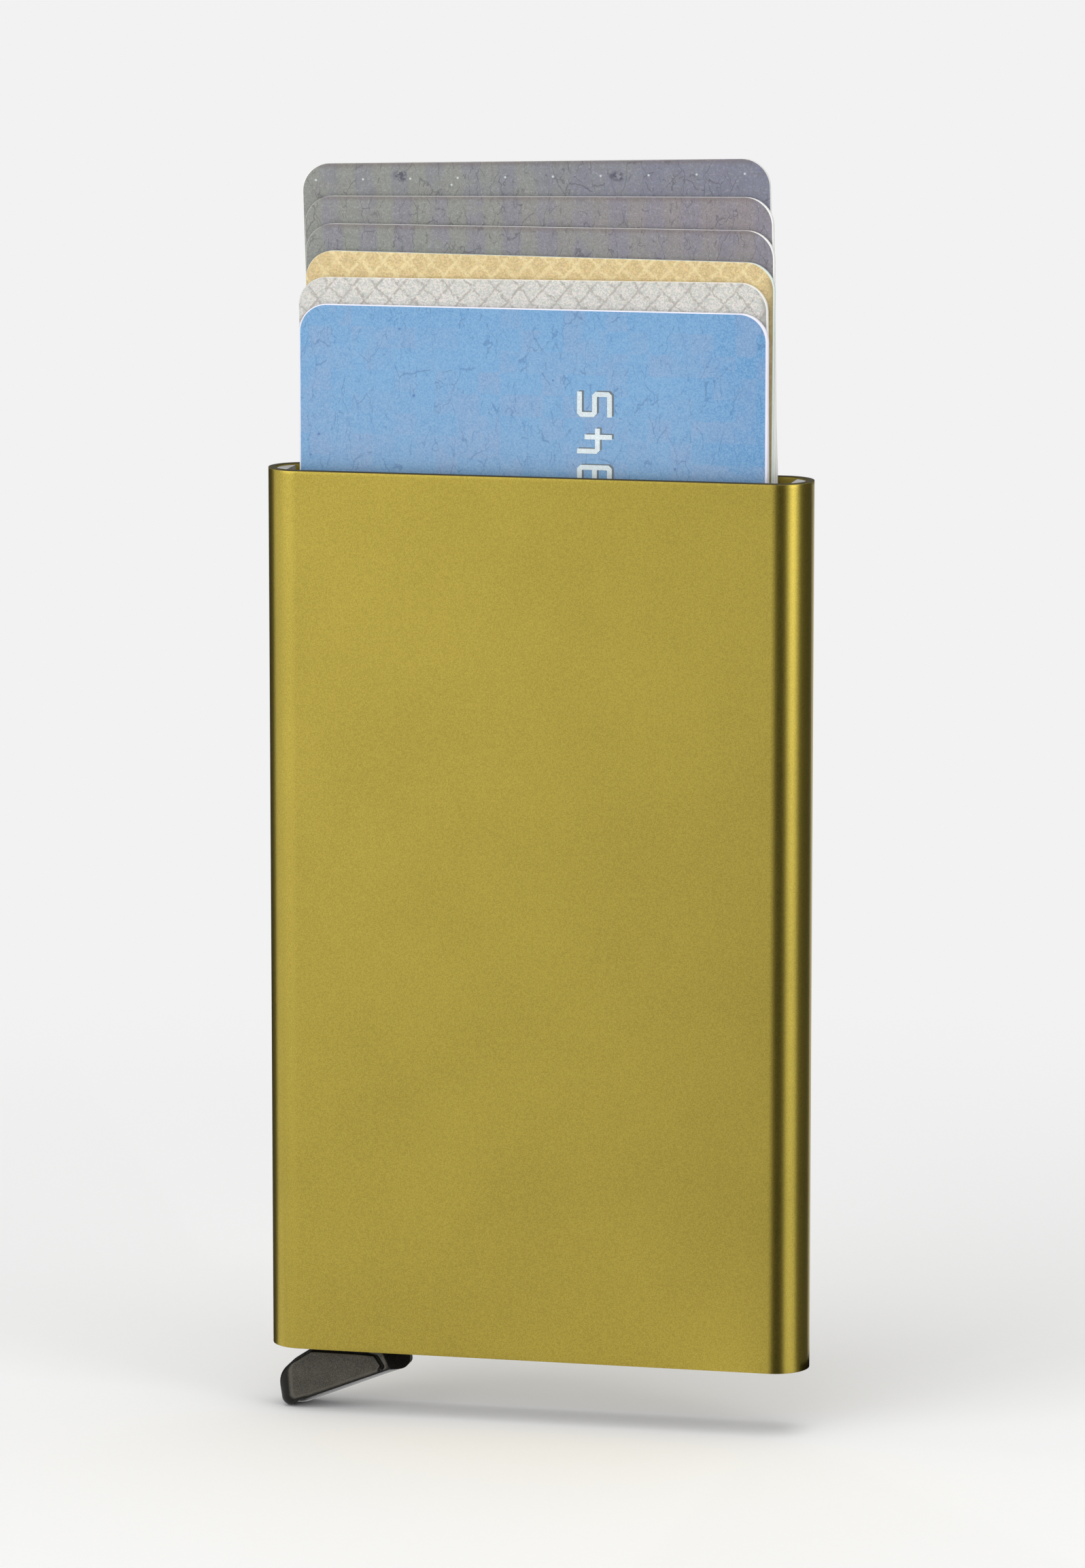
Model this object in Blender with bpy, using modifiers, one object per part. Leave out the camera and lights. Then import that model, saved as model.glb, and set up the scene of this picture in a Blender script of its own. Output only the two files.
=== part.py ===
"""Pop-up card holder: an anodised aluminium case with a stepped lever that fans six cards out of its mouth.

Axes: +X right, -Y to the front face, +Z up. The origin is the centre of the case's base.
"""

import math

import bmesh
import bpy
from mathutils import Euler, Matrix, Vector

# Cards: the standard bank card format, standing on their short edge
CARD_WIDTH = 0.05398
CARD_LENGTH = 0.0856
CARD_THICKNESS = 0.00076
CARD_CORNER = 0.00318
CARD_GAP = 0.00018
FRONT_CARD_GAP = 0.00065
BACK_CARD_GAP = 0.00029
LEAN_GAP = 0.00029
CARD_SINK = 0.002
UNDER_CARDS = 0.0144
LIFT_GAP = 0.0003

# Contact chip: a thin plate let into a pocket of the card
CHIP_WIDTH = 0.0114
CHIP_HEIGHT = 0.0126
CHIP_THICKNESS = 0.0002
CHIP_CORNER = 0.0012
CHIP_FROM_LEFT = 0.0239
CHIP_FROM_BOTTOM = 0.0151
CHIP_GAP = 0.0001

# Case: an extruded tube with flat faces and half-round sides
CASE_WALL = 0.0008
RIM_ROUND = 0.00012
FIT_GAP = 0.0001

# Liners and pile strips in the half-round sides
LINER_THICKNESS = 0.0015
LINER_DROP = 0.0002
STRIP_THICKNESS = 0.00045
STRIP_EDGE_GAP = 0.0001
STRIP_INSET = 0.0012

# Pivot pin and return spring
PIVOT_FROM_SIDE = 0.0058
PIVOT_HEIGHT = 0.0035
PIN_RADIUS = 0.0009
PIN_HOLE_GAP = 0.0001
PIN_END_GAP = 0.0002
HUB_BORE_GAP = 0.0002
SPRING_WIRE = 0.0003
SPRING_PLAY = 0.0004
SPRING_COIL_GAP = 0.00006
SPRING_SIDE_GAP = 0.00016
SPRING_POCKET_GAP = 0.0005
SPRING_LEG_RISE = 0.0038
SPRING_LEG_GAP = 0.0002

# Lever: hub with the thumb tab, and six stepped arms
LEVER_THROW = 53.3
LEVER_SIDE_GAP = 0.0002
HUB_WALL = 0.0006
ARM_STEP = 0.0003
ARM_LAP = 0.00005
ARM_SEAM = 0.0001
ARM_ROOT = 0.0098
ARM_TIP_RADIUS = 0.0013
ARM_END_GAP = 0.00116
TAB_REACH = 0.00936
TAB_TALL = 0.01015
TAB_EDGE = 0.0008
TAB_SWING_GAP = 0.0006
FACET_LENGTH = 0.0019
FACET_DEPTH = 0.0034

# Base insert: the moulding that closes the bottom and carries the lever
CHEEK_HEIGHT = 0.009
CHEEK_PAST_PIVOT = 0.0032
CHEEK_WALL = 0.0004
END_POST_LENGTH = 0.003
HUB_END_GAP = 0.00025
FLOOR_GAP = 0.0004
STOP_LENGTH = 0.003
STOP_FROM_PIVOT = 0.0185
STOP_GAP = 0.0003

# One overrun serves every cut, and one distance welds a curve's caps
OVERRUN = 0.002
WELD = 0.0000001

# Counts
ROUND_STEPS = 16
CORNER_STEPS = 6
PIN_SIDES = 24
ARM_STEPS = 8
SPRING_TURNS = 4
SPRING_STEPS = 12
SPRING_EXTRA_STEPS = 5

# Corners of the thumb tab's flat front about the pivot: x as a share of its reach, z and radius of its height
TAB_SHARES = (
    (0.11, 0.0, 0.015),
    (0.16, -0.38, 0.235),
    (-0.45, -0.725, 0.215),
    (-0.395, -1.0, 0.04),
    (-0.26, -1.0, 0.42),
    (1.0, -0.525, 0.02),
    (0.985, -0.345, 0.015),
    (0.735, -0.155, 0.04),
    (0.32, 0.02, 0.02),
)

# Cards from front to back: name, its arm's reach as a share of the longest arm's, its shift to the right as a
# share of the side play, its lean in degrees (right end up), and whether it has a chip
CARD_SHARES = (
    ("card_1_blue", 0.603, -0.20, 0.0, True),
    ("card_2_silver", 0.680, -0.14, 0.5, True),
    ("card_3_gold", 0.743, -0.135, -0.36, True),
    ("card_4_dark", 0.822, -0.02, 0.23, False),
    ("card_5_dark", 0.904, 0.10, 0.96, False),
    ("card_6_dark", 1.0, 0.05, 1.7, False),
)

# The case's section and height, worked out from the cards it holds
CARD_PITCH = CARD_THICKNESS + CARD_GAP
STACK_DEPTH = len(CARD_SHARES) * CARD_PITCH - CARD_GAP
INNER_RADIUS = (FRONT_CARD_GAP + STACK_DEPTH + BACK_CARD_GAP) / 2
SIDE_RADIUS = INNER_RADIUS + CASE_WALL
INSERT_RADIUS = INNER_RADIUS - FIT_GAP
FIRST_CARD_FRONT = FRONT_CARD_GAP - INNER_RADIUS
MOST_LEAN = max(math.radians(abs(lean)) for _, _, _, lean, _ in CARD_SHARES)
SIDE_PLAY = CARD_LENGTH / 2 * math.sin(MOST_LEAN) + LEAN_GAP
STRIP_FACE = CARD_WIDTH / 2 + SIDE_PLAY
LINER_FACE = STRIP_FACE + STRIP_THICKNESS + FIT_GAP
INSERT_END = LINER_FACE + LINER_THICKNESS
HALF_FLAT = INSERT_END - INSERT_RADIUS
CASE_WIDTH = 2 * (HALF_FLAT + SIDE_RADIUS)
CASE_HEIGHT = UNDER_CARDS + CARD_LENGTH + CARD_SINK
LINER_SETBACK = LINER_FACE - HALF_FLAT
STRIP_WIDTH = 2 * (math.sqrt(INSERT_RADIUS**2 - (LINER_SETBACK - FIT_GAP) ** 2) - STRIP_EDGE_GAP)

# The lever's sizes, worked out from the case and the pin
PIVOT_X = PIVOT_FROM_SIDE - CASE_WIDTH / 2
PIN_LENGTH = 2 * (INNER_RADIUS - PIN_END_GAP)
SPRING_RADIUS = PIN_RADIUS + SPRING_PLAY + SPRING_WIRE / 2
SPRING_PITCH = SPRING_WIRE + SPRING_COIL_GAP
SPRING_SPAN = SPRING_PITCH * (SPRING_TURNS + SPRING_EXTRA_STEPS / SPRING_STEPS)
SPRING_POCKET_RADIUS = SPRING_RADIUS + SPRING_WIRE / 2 + SPRING_POCKET_GAP
SPRING_POCKET_DEPTH = SPRING_SPAN + SPRING_WIRE + 2 * SPRING_SIDE_GAP
HUB_RADIUS = SPRING_POCKET_RADIUS + HUB_WALL
ARM_ROOT_RADIUS = HUB_RADIUS - ARM_STEP
SLOT_DEPTH = 2 * (INSERT_RADIUS - CHEEK_WALL)
LEVER_DEPTH = SLOT_DEPTH - 2 * LEVER_SIDE_GAP
SLOT_LEFT = PIVOT_X - HUB_RADIUS - HUB_END_GAP
TAB_SWING = max(math.hypot(x * TAB_REACH, z * TAB_TALL) for x, z, _ in TAB_SHARES) + TAB_EDGE
SLOT_RIGHT = PIVOT_X + TAB_SWING + TAB_SWING_GAP
END_POST_LEFT = INSERT_END - END_POST_LENGTH
LONGEST_REACH = END_POST_LEFT - ARM_END_GAP - ARM_TIP_RADIUS - PIVOT_X
TIP_HEIGHT = UNDER_CARDS - LIFT_GAP - ARM_TIP_RADIUS - PIVOT_HEIGHT
TOP_OF_INSERT = CHEEK_HEIGHT + FIT_GAP


def clear_scene():
    for old in list(bpy.data.objects):
        bpy.data.objects.remove(old)


def new_collection(name):
    made = bpy.data.collections.new(name)
    bpy.context.scene.collection.children.link(made)
    return made


def surface(name, colour, roughness, metallic=0.0):
    """A Principled material in one colour."""
    made = bpy.data.materials.new(name)
    made.use_nodes = True
    shader = made.node_tree.nodes["Principled BSDF"]
    shader.inputs["Base Color"].default_value = (*colour, 1.0)
    shader.inputs["Roughness"].default_value = roughness
    shader.inputs["Metallic"].default_value = metallic
    made.diffuse_color = (*colour, 1.0)
    return made


def finish(obj, look, smooth=False):
    """Gives a part its material and, on a round part, smooth shading up to its sharp edges."""
    obj.data.materials.clear()
    obj.data.materials.append(look)
    if smooth:
        obj.data.shade_smooth()
        obj.data.set_sharp_from_angle(angle=math.radians(35))
    return obj


def arc(centre, radius, start, end, steps):
    """Points along an arc, between two angles in degrees."""
    points = []
    for step in range(steps + 1):
        angle = math.radians(start + (end - start) * step / steps)
        points.append(Vector(centre) + radius * Vector((math.cos(angle), math.sin(angle))))
    return points


def stadium(radius):
    """The case's section at a radius: two half circles joined by straight sides."""
    right = arc((HALF_FLAT, 0), radius, -90, 90, ROUND_STEPS)
    return right + arc((-HALF_FLAT, 0), radius, 90, 270, ROUND_STEPS)


def rounded_outline(corners, steps):
    """A closed outline through corners (x, y, radius), each turned into an arc."""
    outline = []
    for index, (x, y, radius) in enumerate(corners):
        corner = Vector((x, y))
        back = (Vector(corners[index - 1][:2]) - corner).normalized()
        ahead = (Vector(corners[(index + 1) % len(corners)][:2]) - corner).normalized()
        half = back.angle(ahead) / 2
        centre = corner + (back + ahead).normalized() * radius / math.sin(half)
        first = corner + back * radius / math.tan(half) - centre
        last = corner + ahead * radius / math.tan(half) - centre
        turn = first.angle_signed(last)
        for step in range(steps + 1):
            outline.append(centre + Matrix.Rotation(-turn * step / steps, 2) @ first)
    return outline


def rounded_rectangle(width, height, radius):
    x, y = width / 2, height / 2
    return rounded_outline([(x, y, radius), (-x, y, radius), (-x, -y, radius), (x, -y, radius)], CORNER_STEPS)


def tapered_bar(start, start_radius, end, end_radius):
    """Two circles and their outer tangents, in the front view."""
    start, end = Vector(start), Vector(end)
    along = math.degrees(math.atan2(end.y - start.y, end.x - start.x))
    taper = math.degrees(math.asin((start_radius - end_radius) / (end - start).length))
    tip = arc(end, end_radius, along - 90 + taper, along + 90 - taper, ARM_STEPS)
    return tip + arc(start, start_radius, along + 90 - taper, along + 270 + taper, ARM_STEPS)


def outline_curve(name, outline, thickness, fill_mode="BOTH"):
    """A flat outline as a 2D curve, extruded to a thickness about its own plane."""
    data = bpy.data.curves.new(name, "CURVE")
    data.dimensions = "2D"
    data.fill_mode = fill_mode
    data.extrude = thickness / 2
    spline = data.splines.new("POLY")
    spline.points.add(len(outline) - 1)
    for point, (x, y) in zip(spline.points, outline):
        point.co = (x, y, 0, 1)
    spline.use_cyclic_u = True
    return bpy.data.objects.new(name, data)


def wire_curve(name, points, wire):
    """A round wire through points."""
    data = bpy.data.curves.new(name, "CURVE")
    data.dimensions = "3D"
    data.bevel_depth = wire / 2
    data.bevel_resolution = 1
    data.use_fill_caps = True
    spline = data.splines.new("POLY")
    spline.points.add(len(points) - 1)
    for point, place in zip(spline.points, points):
        point.co = (*place, 1)
    return bpy.data.objects.new(name, data)


def mesh_from_curve(curve, group):
    """The curve as a mesh object with its seams and caps welded."""
    group.objects.link(curve)
    bpy.context.view_layer.update()
    evaluated = curve.evaluated_get(bpy.context.evaluated_depsgraph_get())
    data = bpy.data.meshes.new_from_object(evaluated)
    work = bmesh.new()
    work.from_mesh(data)
    bmesh.ops.remove_doubles(work, verts=work.verts, dist=WELD)
    bmesh.ops.recalc_face_normals(work, faces=work.faces)
    work.to_mesh(data)
    work.free()
    name, placed = curve.name, curve.matrix_world.copy()
    bpy.data.objects.remove(curve)
    made = bpy.data.objects.new(name, data)
    made.matrix_world = placed
    group.objects.link(made)
    return made


def upright(place=(0, 0, 0), lean=0.0):
    """The placement of a plate drawn in the front view: its outline's y is up, and its thickness runs along Y."""
    return Matrix.Translation(place) @ Euler((math.pi / 2, -math.radians(lean), 0)).to_matrix().to_4x4()


def plate(name, outline, thickness, group, placement):
    """An outline extruded to a plate and placed."""
    curve = outline_curve(name, outline, thickness)
    curve.matrix_world = placement
    return mesh_from_curve(curve, group)


def box(name, low, high, group):
    """A box between two corners."""
    low, high = Vector(low), Vector(high)
    data = bpy.data.meshes.new(name)
    work = bmesh.new()
    bmesh.ops.create_cube(work, size=1, matrix=Matrix.Diagonal(high - low).to_4x4())
    work.to_mesh(data)
    work.free()
    made = bpy.data.objects.new(name, data)
    made.location = (low + high) / 2
    group.objects.link(made)
    return made


def cross_cylinder(name, radius, length, group):
    """A cylinder on the pivot's axis, across the case."""
    data = bpy.data.meshes.new(name)
    work = bmesh.new()
    turn = Matrix.Rotation(math.pi / 2, 4, "X")
    bmesh.ops.create_cone(
        work, cap_ends=True, segments=PIN_SIDES, radius1=radius, radius2=radius, depth=length, matrix=turn
    )
    work.to_mesh(data)
    work.free()
    made = bpy.data.objects.new(name, data)
    made.location = (PIVOT_X, 0, PIVOT_HEIGHT)
    group.objects.link(made)
    return made


def boolean(obj, other, operation):
    """Cuts or joins another shape, which stays behind as a hidden helper."""
    modifier = obj.modifiers.new(other.name, "BOOLEAN")
    modifier.operation = operation
    modifier.solver = "EXACT"
    modifier.object = other
    other.hide_render = True
    other.display_type = "WIRE"


def bevel(obj, width, segments, angle):
    modifier = obj.modifiers.new("edges", "BEVEL")
    modifier.width = width
    modifier.segments = segments
    modifier.limit_method = "ANGLE"
    modifier.angle_limit = math.radians(angle)


def make_case(parts, look):
    """The extruded tube: a ribbon along its section, given its wall and a softened rim."""
    curve = outline_curve("case_tube", stadium(SIDE_RADIUS), CASE_HEIGHT, fill_mode="NONE")
    curve.location.z = CASE_HEIGHT / 2
    tube = mesh_from_curve(curve, parts)
    wall = tube.modifiers.new("wall", "SOLIDIFY")
    wall.thickness = CASE_WALL
    wall.offset = -1
    wall.use_even_offset = True
    bevel(tube, RIM_ROUND, 2, 60)
    return finish(tube, look, smooth=True)


def arm_tip(reach_share):
    """Centre of an arm's round tip about the pivot, at rest just under the cards."""
    return Vector((reach_share * LONGEST_REACH, TIP_HEIGHT))


def card_bottom(reach_share):
    """Height of the card's lower edge once its arm has made the full throw."""
    throw = math.radians(LEVER_THROW)
    tip = arm_tip(reach_share)
    return PIVOT_HEIGHT + tip.x * math.sin(throw) + tip.y * math.cos(throw) + ARM_TIP_RADIUS + LIFT_GAP


def lowest_edge(distance):
    """Height of the longest arm's lower edge, at a distance along the base from the pivot."""
    tip = arm_tip(1)
    slope = math.atan2(tip.y, tip.x) + math.asin((ARM_ROOT_RADIUS - ARM_TIP_RADIUS) / tip.length)
    return PIVOT_HEIGHT + distance * math.tan(slope) - ARM_ROOT_RADIUS / math.cos(slope)


def make_insert(parts, helpers, look):
    """The bottom moulding: a floor, cheeks round the lever's slot, an end post and the lever's stop."""
    placement = Matrix.Translation((0, 0, CHEEK_HEIGHT / 2))
    insert = plate("base_insert", stadium(INSERT_RADIUS), CHEEK_HEIGHT, parts, placement)
    side = INSERT_RADIUS + OVERRUN
    floor = lowest_edge(SLOT_RIGHT - PIVOT_X) - FLOOR_GAP
    over_floor = box(
        "over_floor_cut",
        (PIVOT_X + CHEEK_PAST_PIVOT, -side, floor),
        (END_POST_LEFT, side, CHEEK_HEIGHT + OVERRUN),
        helpers,
    )
    boolean(insert, over_floor, "DIFFERENCE")
    slot = box(
        "lever_slot_cut",
        (SLOT_LEFT, -SLOT_DEPTH / 2, -OVERRUN),
        (SLOT_RIGHT, SLOT_DEPTH / 2, CHEEK_HEIGHT + OVERRUN),
        helpers,
    )
    boolean(insert, slot, "DIFFERENCE")
    hole = cross_cylinder("pin_hole_cut", PIN_RADIUS + PIN_HOLE_GAP, 2 * side, helpers)
    boolean(insert, hole, "DIFFERENCE")
    stop_left = PIVOT_X + STOP_FROM_PIVOT
    stop = box(
        "lever_stop",
        (stop_left, -LEVER_DEPTH / 2, floor / 2),
        (stop_left + STOP_LENGTH, LEVER_DEPTH / 2, lowest_edge(STOP_FROM_PIVOT) - STOP_GAP),
        helpers,
    )
    boolean(insert, stop, "UNION")
    return finish(insert, look)


def make_tab(helpers):
    """The thumb tab, with edges sloped all round and a facet that falls back at its toe."""
    corners = [(x * TAB_REACH, z * TAB_TALL, radius * TAB_TALL) for x, z, radius in TAB_SHARES]
    curve = outline_curve("thumb_tab", rounded_outline(corners, CORNER_STEPS), LEVER_DEPTH - 2 * TAB_EDGE)
    curve.data.bevel_depth = TAB_EDGE
    curve.data.bevel_resolution = 1
    curve.matrix_world = upright((PIVOT_X, 0, PIVOT_HEIGHT))
    tab = mesh_from_curve(curve, helpers)
    front, toe = -LEVER_DEPTH / 2, PIVOT_X + TAB_REACH + TAB_EDGE
    outline = [
        (toe - FACET_LENGTH, front),
        (toe - FACET_LENGTH, front - OVERRUN),
        (toe + OVERRUN, front - OVERRUN),
        (toe + OVERRUN, front + FACET_DEPTH),
        (toe, front + FACET_DEPTH),
    ]
    reach = TAB_TALL + OVERRUN
    facet = plate("toe_facet_cut", outline, 2 * reach, helpers, Matrix.Translation((0, 0, -TAB_TALL)))
    boolean(tab, facet, "DIFFERENCE")
    return tab


def arm_layer(index):
    """Front and back of the arm under a card: a little thicker than the card, and inside the lever's depth."""
    front = FIRST_CARD_FRONT + index * CARD_PITCH - ARM_LAP
    back = FIRST_CARD_FRONT + index * CARD_PITCH + CARD_THICKNESS + ARM_LAP
    return max(front, -LEVER_DEPTH / 2), min(back, LEVER_DEPTH / 2)


def make_lever(parts, helpers, look):
    """Hub, thumb tab and the root that carries the arms, with the bore and the spring's pocket."""
    pivot = (PIVOT_X, 0, PIVOT_HEIGHT)
    lever = cross_cylinder("ejector_lever", HUB_RADIUS, LEVER_DEPTH, parts)
    boolean(lever, make_tab(helpers), "UNION")
    middle = arm_tip(CARD_SHARES[len(CARD_SHARES) // 2][1])
    root = tapered_bar((0, 0), ARM_ROOT_RADIUS, middle, ARM_TIP_RADIUS)
    stub = plate("arm_root", root, LEVER_DEPTH, helpers, upright(pivot))
    side, past = LEVER_DEPTH / 2 + OVERRUN, PIVOT_X + LONGEST_REACH + OVERRUN
    top = PIVOT_HEIGHT + TIP_HEIGHT + ARM_TIP_RADIUS + OVERRUN
    beyond = box("past_root_cut", (PIVOT_X + ARM_ROOT, -side, 0), (past, side, top), helpers)
    boolean(stub, beyond, "DIFFERENCE")
    boolean(lever, stub, "UNION")
    bore = cross_cylinder("hub_bore_cut", PIN_RADIUS + HUB_BORE_GAP, 2 * side, helpers)
    boolean(lever, bore, "DIFFERENCE")
    pocket = cross_cylinder("spring_pocket_cut", SPRING_POCKET_RADIUS, SPRING_POCKET_DEPTH, helpers)
    boolean(lever, pocket, "DIFFERENCE")
    window = box(
        "spring_window_cut",
        Vector(pivot) + Vector((-HUB_RADIUS - OVERRUN, -SPRING_POCKET_DEPTH / 2, -SPRING_POCKET_RADIUS)),
        Vector(pivot) + Vector((0, SPRING_POCKET_DEPTH / 2, HUB_RADIUS + OVERRUN)),
        helpers,
    )
    boolean(lever, window, "DIFFERENCE")
    return finish(lever, look)


def make_arm(index, parts, helpers, look):
    """One arm beyond the root, under its card's lower edge."""
    front, back = arm_layer(index)
    outline = tapered_bar((0, 0), ARM_ROOT_RADIUS, arm_tip(CARD_SHARES[index][1]), ARM_TIP_RADIUS)
    placement = upright((PIVOT_X, (front + back) / 2, PIVOT_HEIGHT))
    arm = plate(f"lever_arm_{index + 1}", outline, back - front, parts, placement)
    side = ARM_ROOT_RADIUS + OVERRUN
    low = (PIVOT_X - side, -LEVER_DEPTH, PIVOT_HEIGHT - side)
    high = (PIVOT_X + ARM_ROOT + ARM_SEAM, LEVER_DEPTH, PIVOT_HEIGHT + TIP_HEIGHT + side)
    boolean(arm, box(f"{arm.name}_root_cut", low, high, helpers), "DIFFERENCE")
    return finish(arm, look)


def make_pin(parts, look):
    return finish(cross_cylinder("pivot_pin", PIN_RADIUS, PIN_LENGTH, parts), look, smooth=True)


def make_spring(parts, look):
    """The torsion spring round the pin: a helix, a leg up the slot's end wall and a hooked end in the hub."""
    start = -SPRING_SPAN / 2
    points = []
    wall = SLOT_LEFT - PIVOT_X + SPRING_WIRE / 2 + SPRING_LEG_GAP
    points.append((wall, start, SPRING_LEG_RISE))
    points.append((-SPRING_RADIUS - SPRING_COIL_GAP, start, SPRING_RADIUS / 2))
    for step in range(SPRING_TURNS * SPRING_STEPS + SPRING_EXTRA_STEPS + 1):
        angle = math.pi + 2 * math.pi * step / SPRING_STEPS
        x, z = SPRING_RADIUS * math.cos(angle), SPRING_RADIUS * math.sin(angle)
        points.append((x, start + SPRING_PITCH * step / SPRING_STEPS, z))
    hook = (SPRING_POCKET_RADIUS - SPRING_WIRE / 2 - SPRING_LEG_GAP) / SPRING_RADIUS
    x, y, z = points[-1]
    points.append((x * hook, y, z * hook))
    curve = wire_curve("return_spring", points, SPRING_WIRE)
    curve.location = (PIVOT_X, 0, PIVOT_HEIGHT)
    return finish(mesh_from_curve(curve, parts), look, smooth=True)


def make_liner(side, name, parts, look):
    """A moulding of D section that fills a half-round side, with a flat face towards the cards."""
    opening = math.degrees(math.acos(LINER_SETBACK / INSERT_RADIUS))
    outline = arc((HALF_FLAT, 0), INSERT_RADIUS, -opening, opening, ROUND_STEPS)
    if side < 0:
        outline = [Vector((-x, y)) for x, y in reversed(outline)]
    top = CASE_HEIGHT - LINER_DROP
    placement = Matrix.Translation((0, 0, (TOP_OF_INSERT + top) / 2))
    return finish(plate(name, outline, top - TOP_OF_INSERT, parts, placement), look, smooth=True)


def make_strip(side, name, parts, look):
    """A pile strip on the liner's flat face, which grips the cards' long edges."""
    near, far = side * STRIP_FACE, side * (STRIP_FACE + STRIP_THICKNESS)
    low = (min(near, far), -STRIP_WIDTH / 2, TOP_OF_INSERT + STRIP_INSET)
    high = (max(near, far), STRIP_WIDTH / 2, CASE_HEIGHT - LINER_DROP - STRIP_INSET)
    return finish(box(name, low, high, parts), look)


def make_chip(card, placement, parts, helpers, look):
    """A contact plate flush with the card's front, in a pocket a little larger than itself."""
    x = CHIP_FROM_LEFT - CARD_WIDTH / 2
    z = CHIP_FROM_BOTTOM - CARD_LENGTH / 2
    front = CARD_THICKNESS / 2
    chip_outline = rounded_rectangle(CHIP_WIDTH, CHIP_HEIGHT, CHIP_CORNER)
    inset = Matrix.Translation((x, z, front - CHIP_THICKNESS / 2))
    chip = plate(card.name.replace("card", "chip"), chip_outline, CHIP_THICKNESS, parts, placement @ inset)
    widths = CHIP_WIDTH + 2 * CHIP_GAP, CHIP_HEIGHT + 2 * CHIP_GAP
    pocket_outline = rounded_rectangle(*widths, CHIP_CORNER + CHIP_GAP)
    floor = front - CHIP_THICKNESS - CHIP_GAP
    inset = Matrix.Translation((x, z, floor + OVERRUN / 2))
    pocket = plate(f"{card.name}_pocket_cut", pocket_outline, OVERRUN, helpers, placement @ inset)
    boolean(card, pocket, "DIFFERENCE")
    return finish(chip, look)


def make_card(index, parts, helpers, look, chip_look):
    """A laminated card at the height where the lever left it."""
    name, reach_share, shift_share, lean, has_chip = CARD_SHARES[index]
    middle = FIRST_CARD_FRONT + index * CARD_PITCH + CARD_THICKNESS / 2
    place = (shift_share * SIDE_PLAY, middle, card_bottom(reach_share) + CARD_LENGTH / 2)
    placement = upright(place, lean)
    outline = rounded_rectangle(CARD_WIDTH, CARD_LENGTH, CARD_CORNER)
    card = plate(name, outline, CARD_THICKNESS, parts, placement)
    if has_chip:
        make_chip(card, placement, parts, helpers, chip_look)
    return finish(card, look)


def make_all():
    clear_scene()
    parts = new_collection("pop_up_card_holder")
    helpers = new_collection("helpers")
    plastic = surface("black_plastic", (0.022, 0.021, 0.020), 0.55)
    steel = surface("steel", (0.55, 0.55, 0.55), 0.3, 1.0)
    liner = surface("grey_plastic", (0.45, 0.45, 0.44), 0.6)
    pile = surface("grey_pile", (0.30, 0.30, 0.30), 0.95)
    contact = surface("chip_gold", (0.75, 0.55, 0.22), 0.3, 1.0)
    dark_card = surface("dark_card", (0.14, 0.14, 0.16), 0.5)
    card_looks = (
        surface("blue_card", (0.11, 0.31, 0.62), 0.45),
        surface("silver_card", (0.62, 0.60, 0.57), 0.45),
        surface("gold_card", (0.72, 0.48, 0.18), 0.45),
        dark_card,
        dark_card,
        dark_card,
    )
    make_case(parts, surface("anodised_case", (0.38, 0.29, 0.06), 0.38, 0.9))
    make_insert(parts, helpers, plastic)
    make_lever(parts, helpers, plastic)
    for index in range(len(CARD_SHARES)):
        make_arm(index, parts, helpers, plastic)
    make_pin(parts, steel)
    make_spring(parts, steel)
    for side, word in ((-1, "left"), (1, "right")):
        make_liner(side, f"edge_liner_{word}", parts, liner)
        make_strip(side, f"pile_strip_{word}", parts, pile)
    for index, look in enumerate(card_looks):
        make_card(index, parts, helpers, look, contact)


make_all()
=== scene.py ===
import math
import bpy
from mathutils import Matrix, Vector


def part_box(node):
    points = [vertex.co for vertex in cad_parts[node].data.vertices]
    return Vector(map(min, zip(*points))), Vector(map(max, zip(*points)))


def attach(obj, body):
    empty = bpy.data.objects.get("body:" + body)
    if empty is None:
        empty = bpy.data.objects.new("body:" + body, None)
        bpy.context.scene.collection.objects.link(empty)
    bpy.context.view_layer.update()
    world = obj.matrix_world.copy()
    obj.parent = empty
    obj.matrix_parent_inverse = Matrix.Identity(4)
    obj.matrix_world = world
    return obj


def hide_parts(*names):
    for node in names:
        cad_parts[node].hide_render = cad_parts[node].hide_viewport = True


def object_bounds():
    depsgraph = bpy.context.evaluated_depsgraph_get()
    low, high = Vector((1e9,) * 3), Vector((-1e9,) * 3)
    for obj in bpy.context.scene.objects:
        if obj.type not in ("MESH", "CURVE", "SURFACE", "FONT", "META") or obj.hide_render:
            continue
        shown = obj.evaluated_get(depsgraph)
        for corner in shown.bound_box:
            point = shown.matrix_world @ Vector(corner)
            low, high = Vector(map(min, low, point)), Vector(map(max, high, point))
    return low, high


bl_info = {
    "name": "Pop up card holder",
    "version": (1, 0, 0),
    "blender": (4, 5, 0),
    "location": "3D View > Sidebar > Card Holder",
    "description": "Dresses a pop up card holder, its cards and its thumb lever, and sets the studio",
    "category": "Object",
}

import bmesh
import bpy
import numpy as np
from bpy.props import FloatProperty, FloatVectorProperty, PointerProperty, StringProperty

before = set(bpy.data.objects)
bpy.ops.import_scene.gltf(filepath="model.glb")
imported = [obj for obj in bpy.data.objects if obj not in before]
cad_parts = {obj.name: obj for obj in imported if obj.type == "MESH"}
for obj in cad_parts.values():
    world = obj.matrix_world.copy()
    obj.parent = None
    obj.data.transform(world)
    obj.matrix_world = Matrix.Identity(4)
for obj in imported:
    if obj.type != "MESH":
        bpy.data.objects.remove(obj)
CAD_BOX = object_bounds()

MM = 0.001
SHARP_ANGLE = 32
ROUND_POINTS = 5

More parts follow.
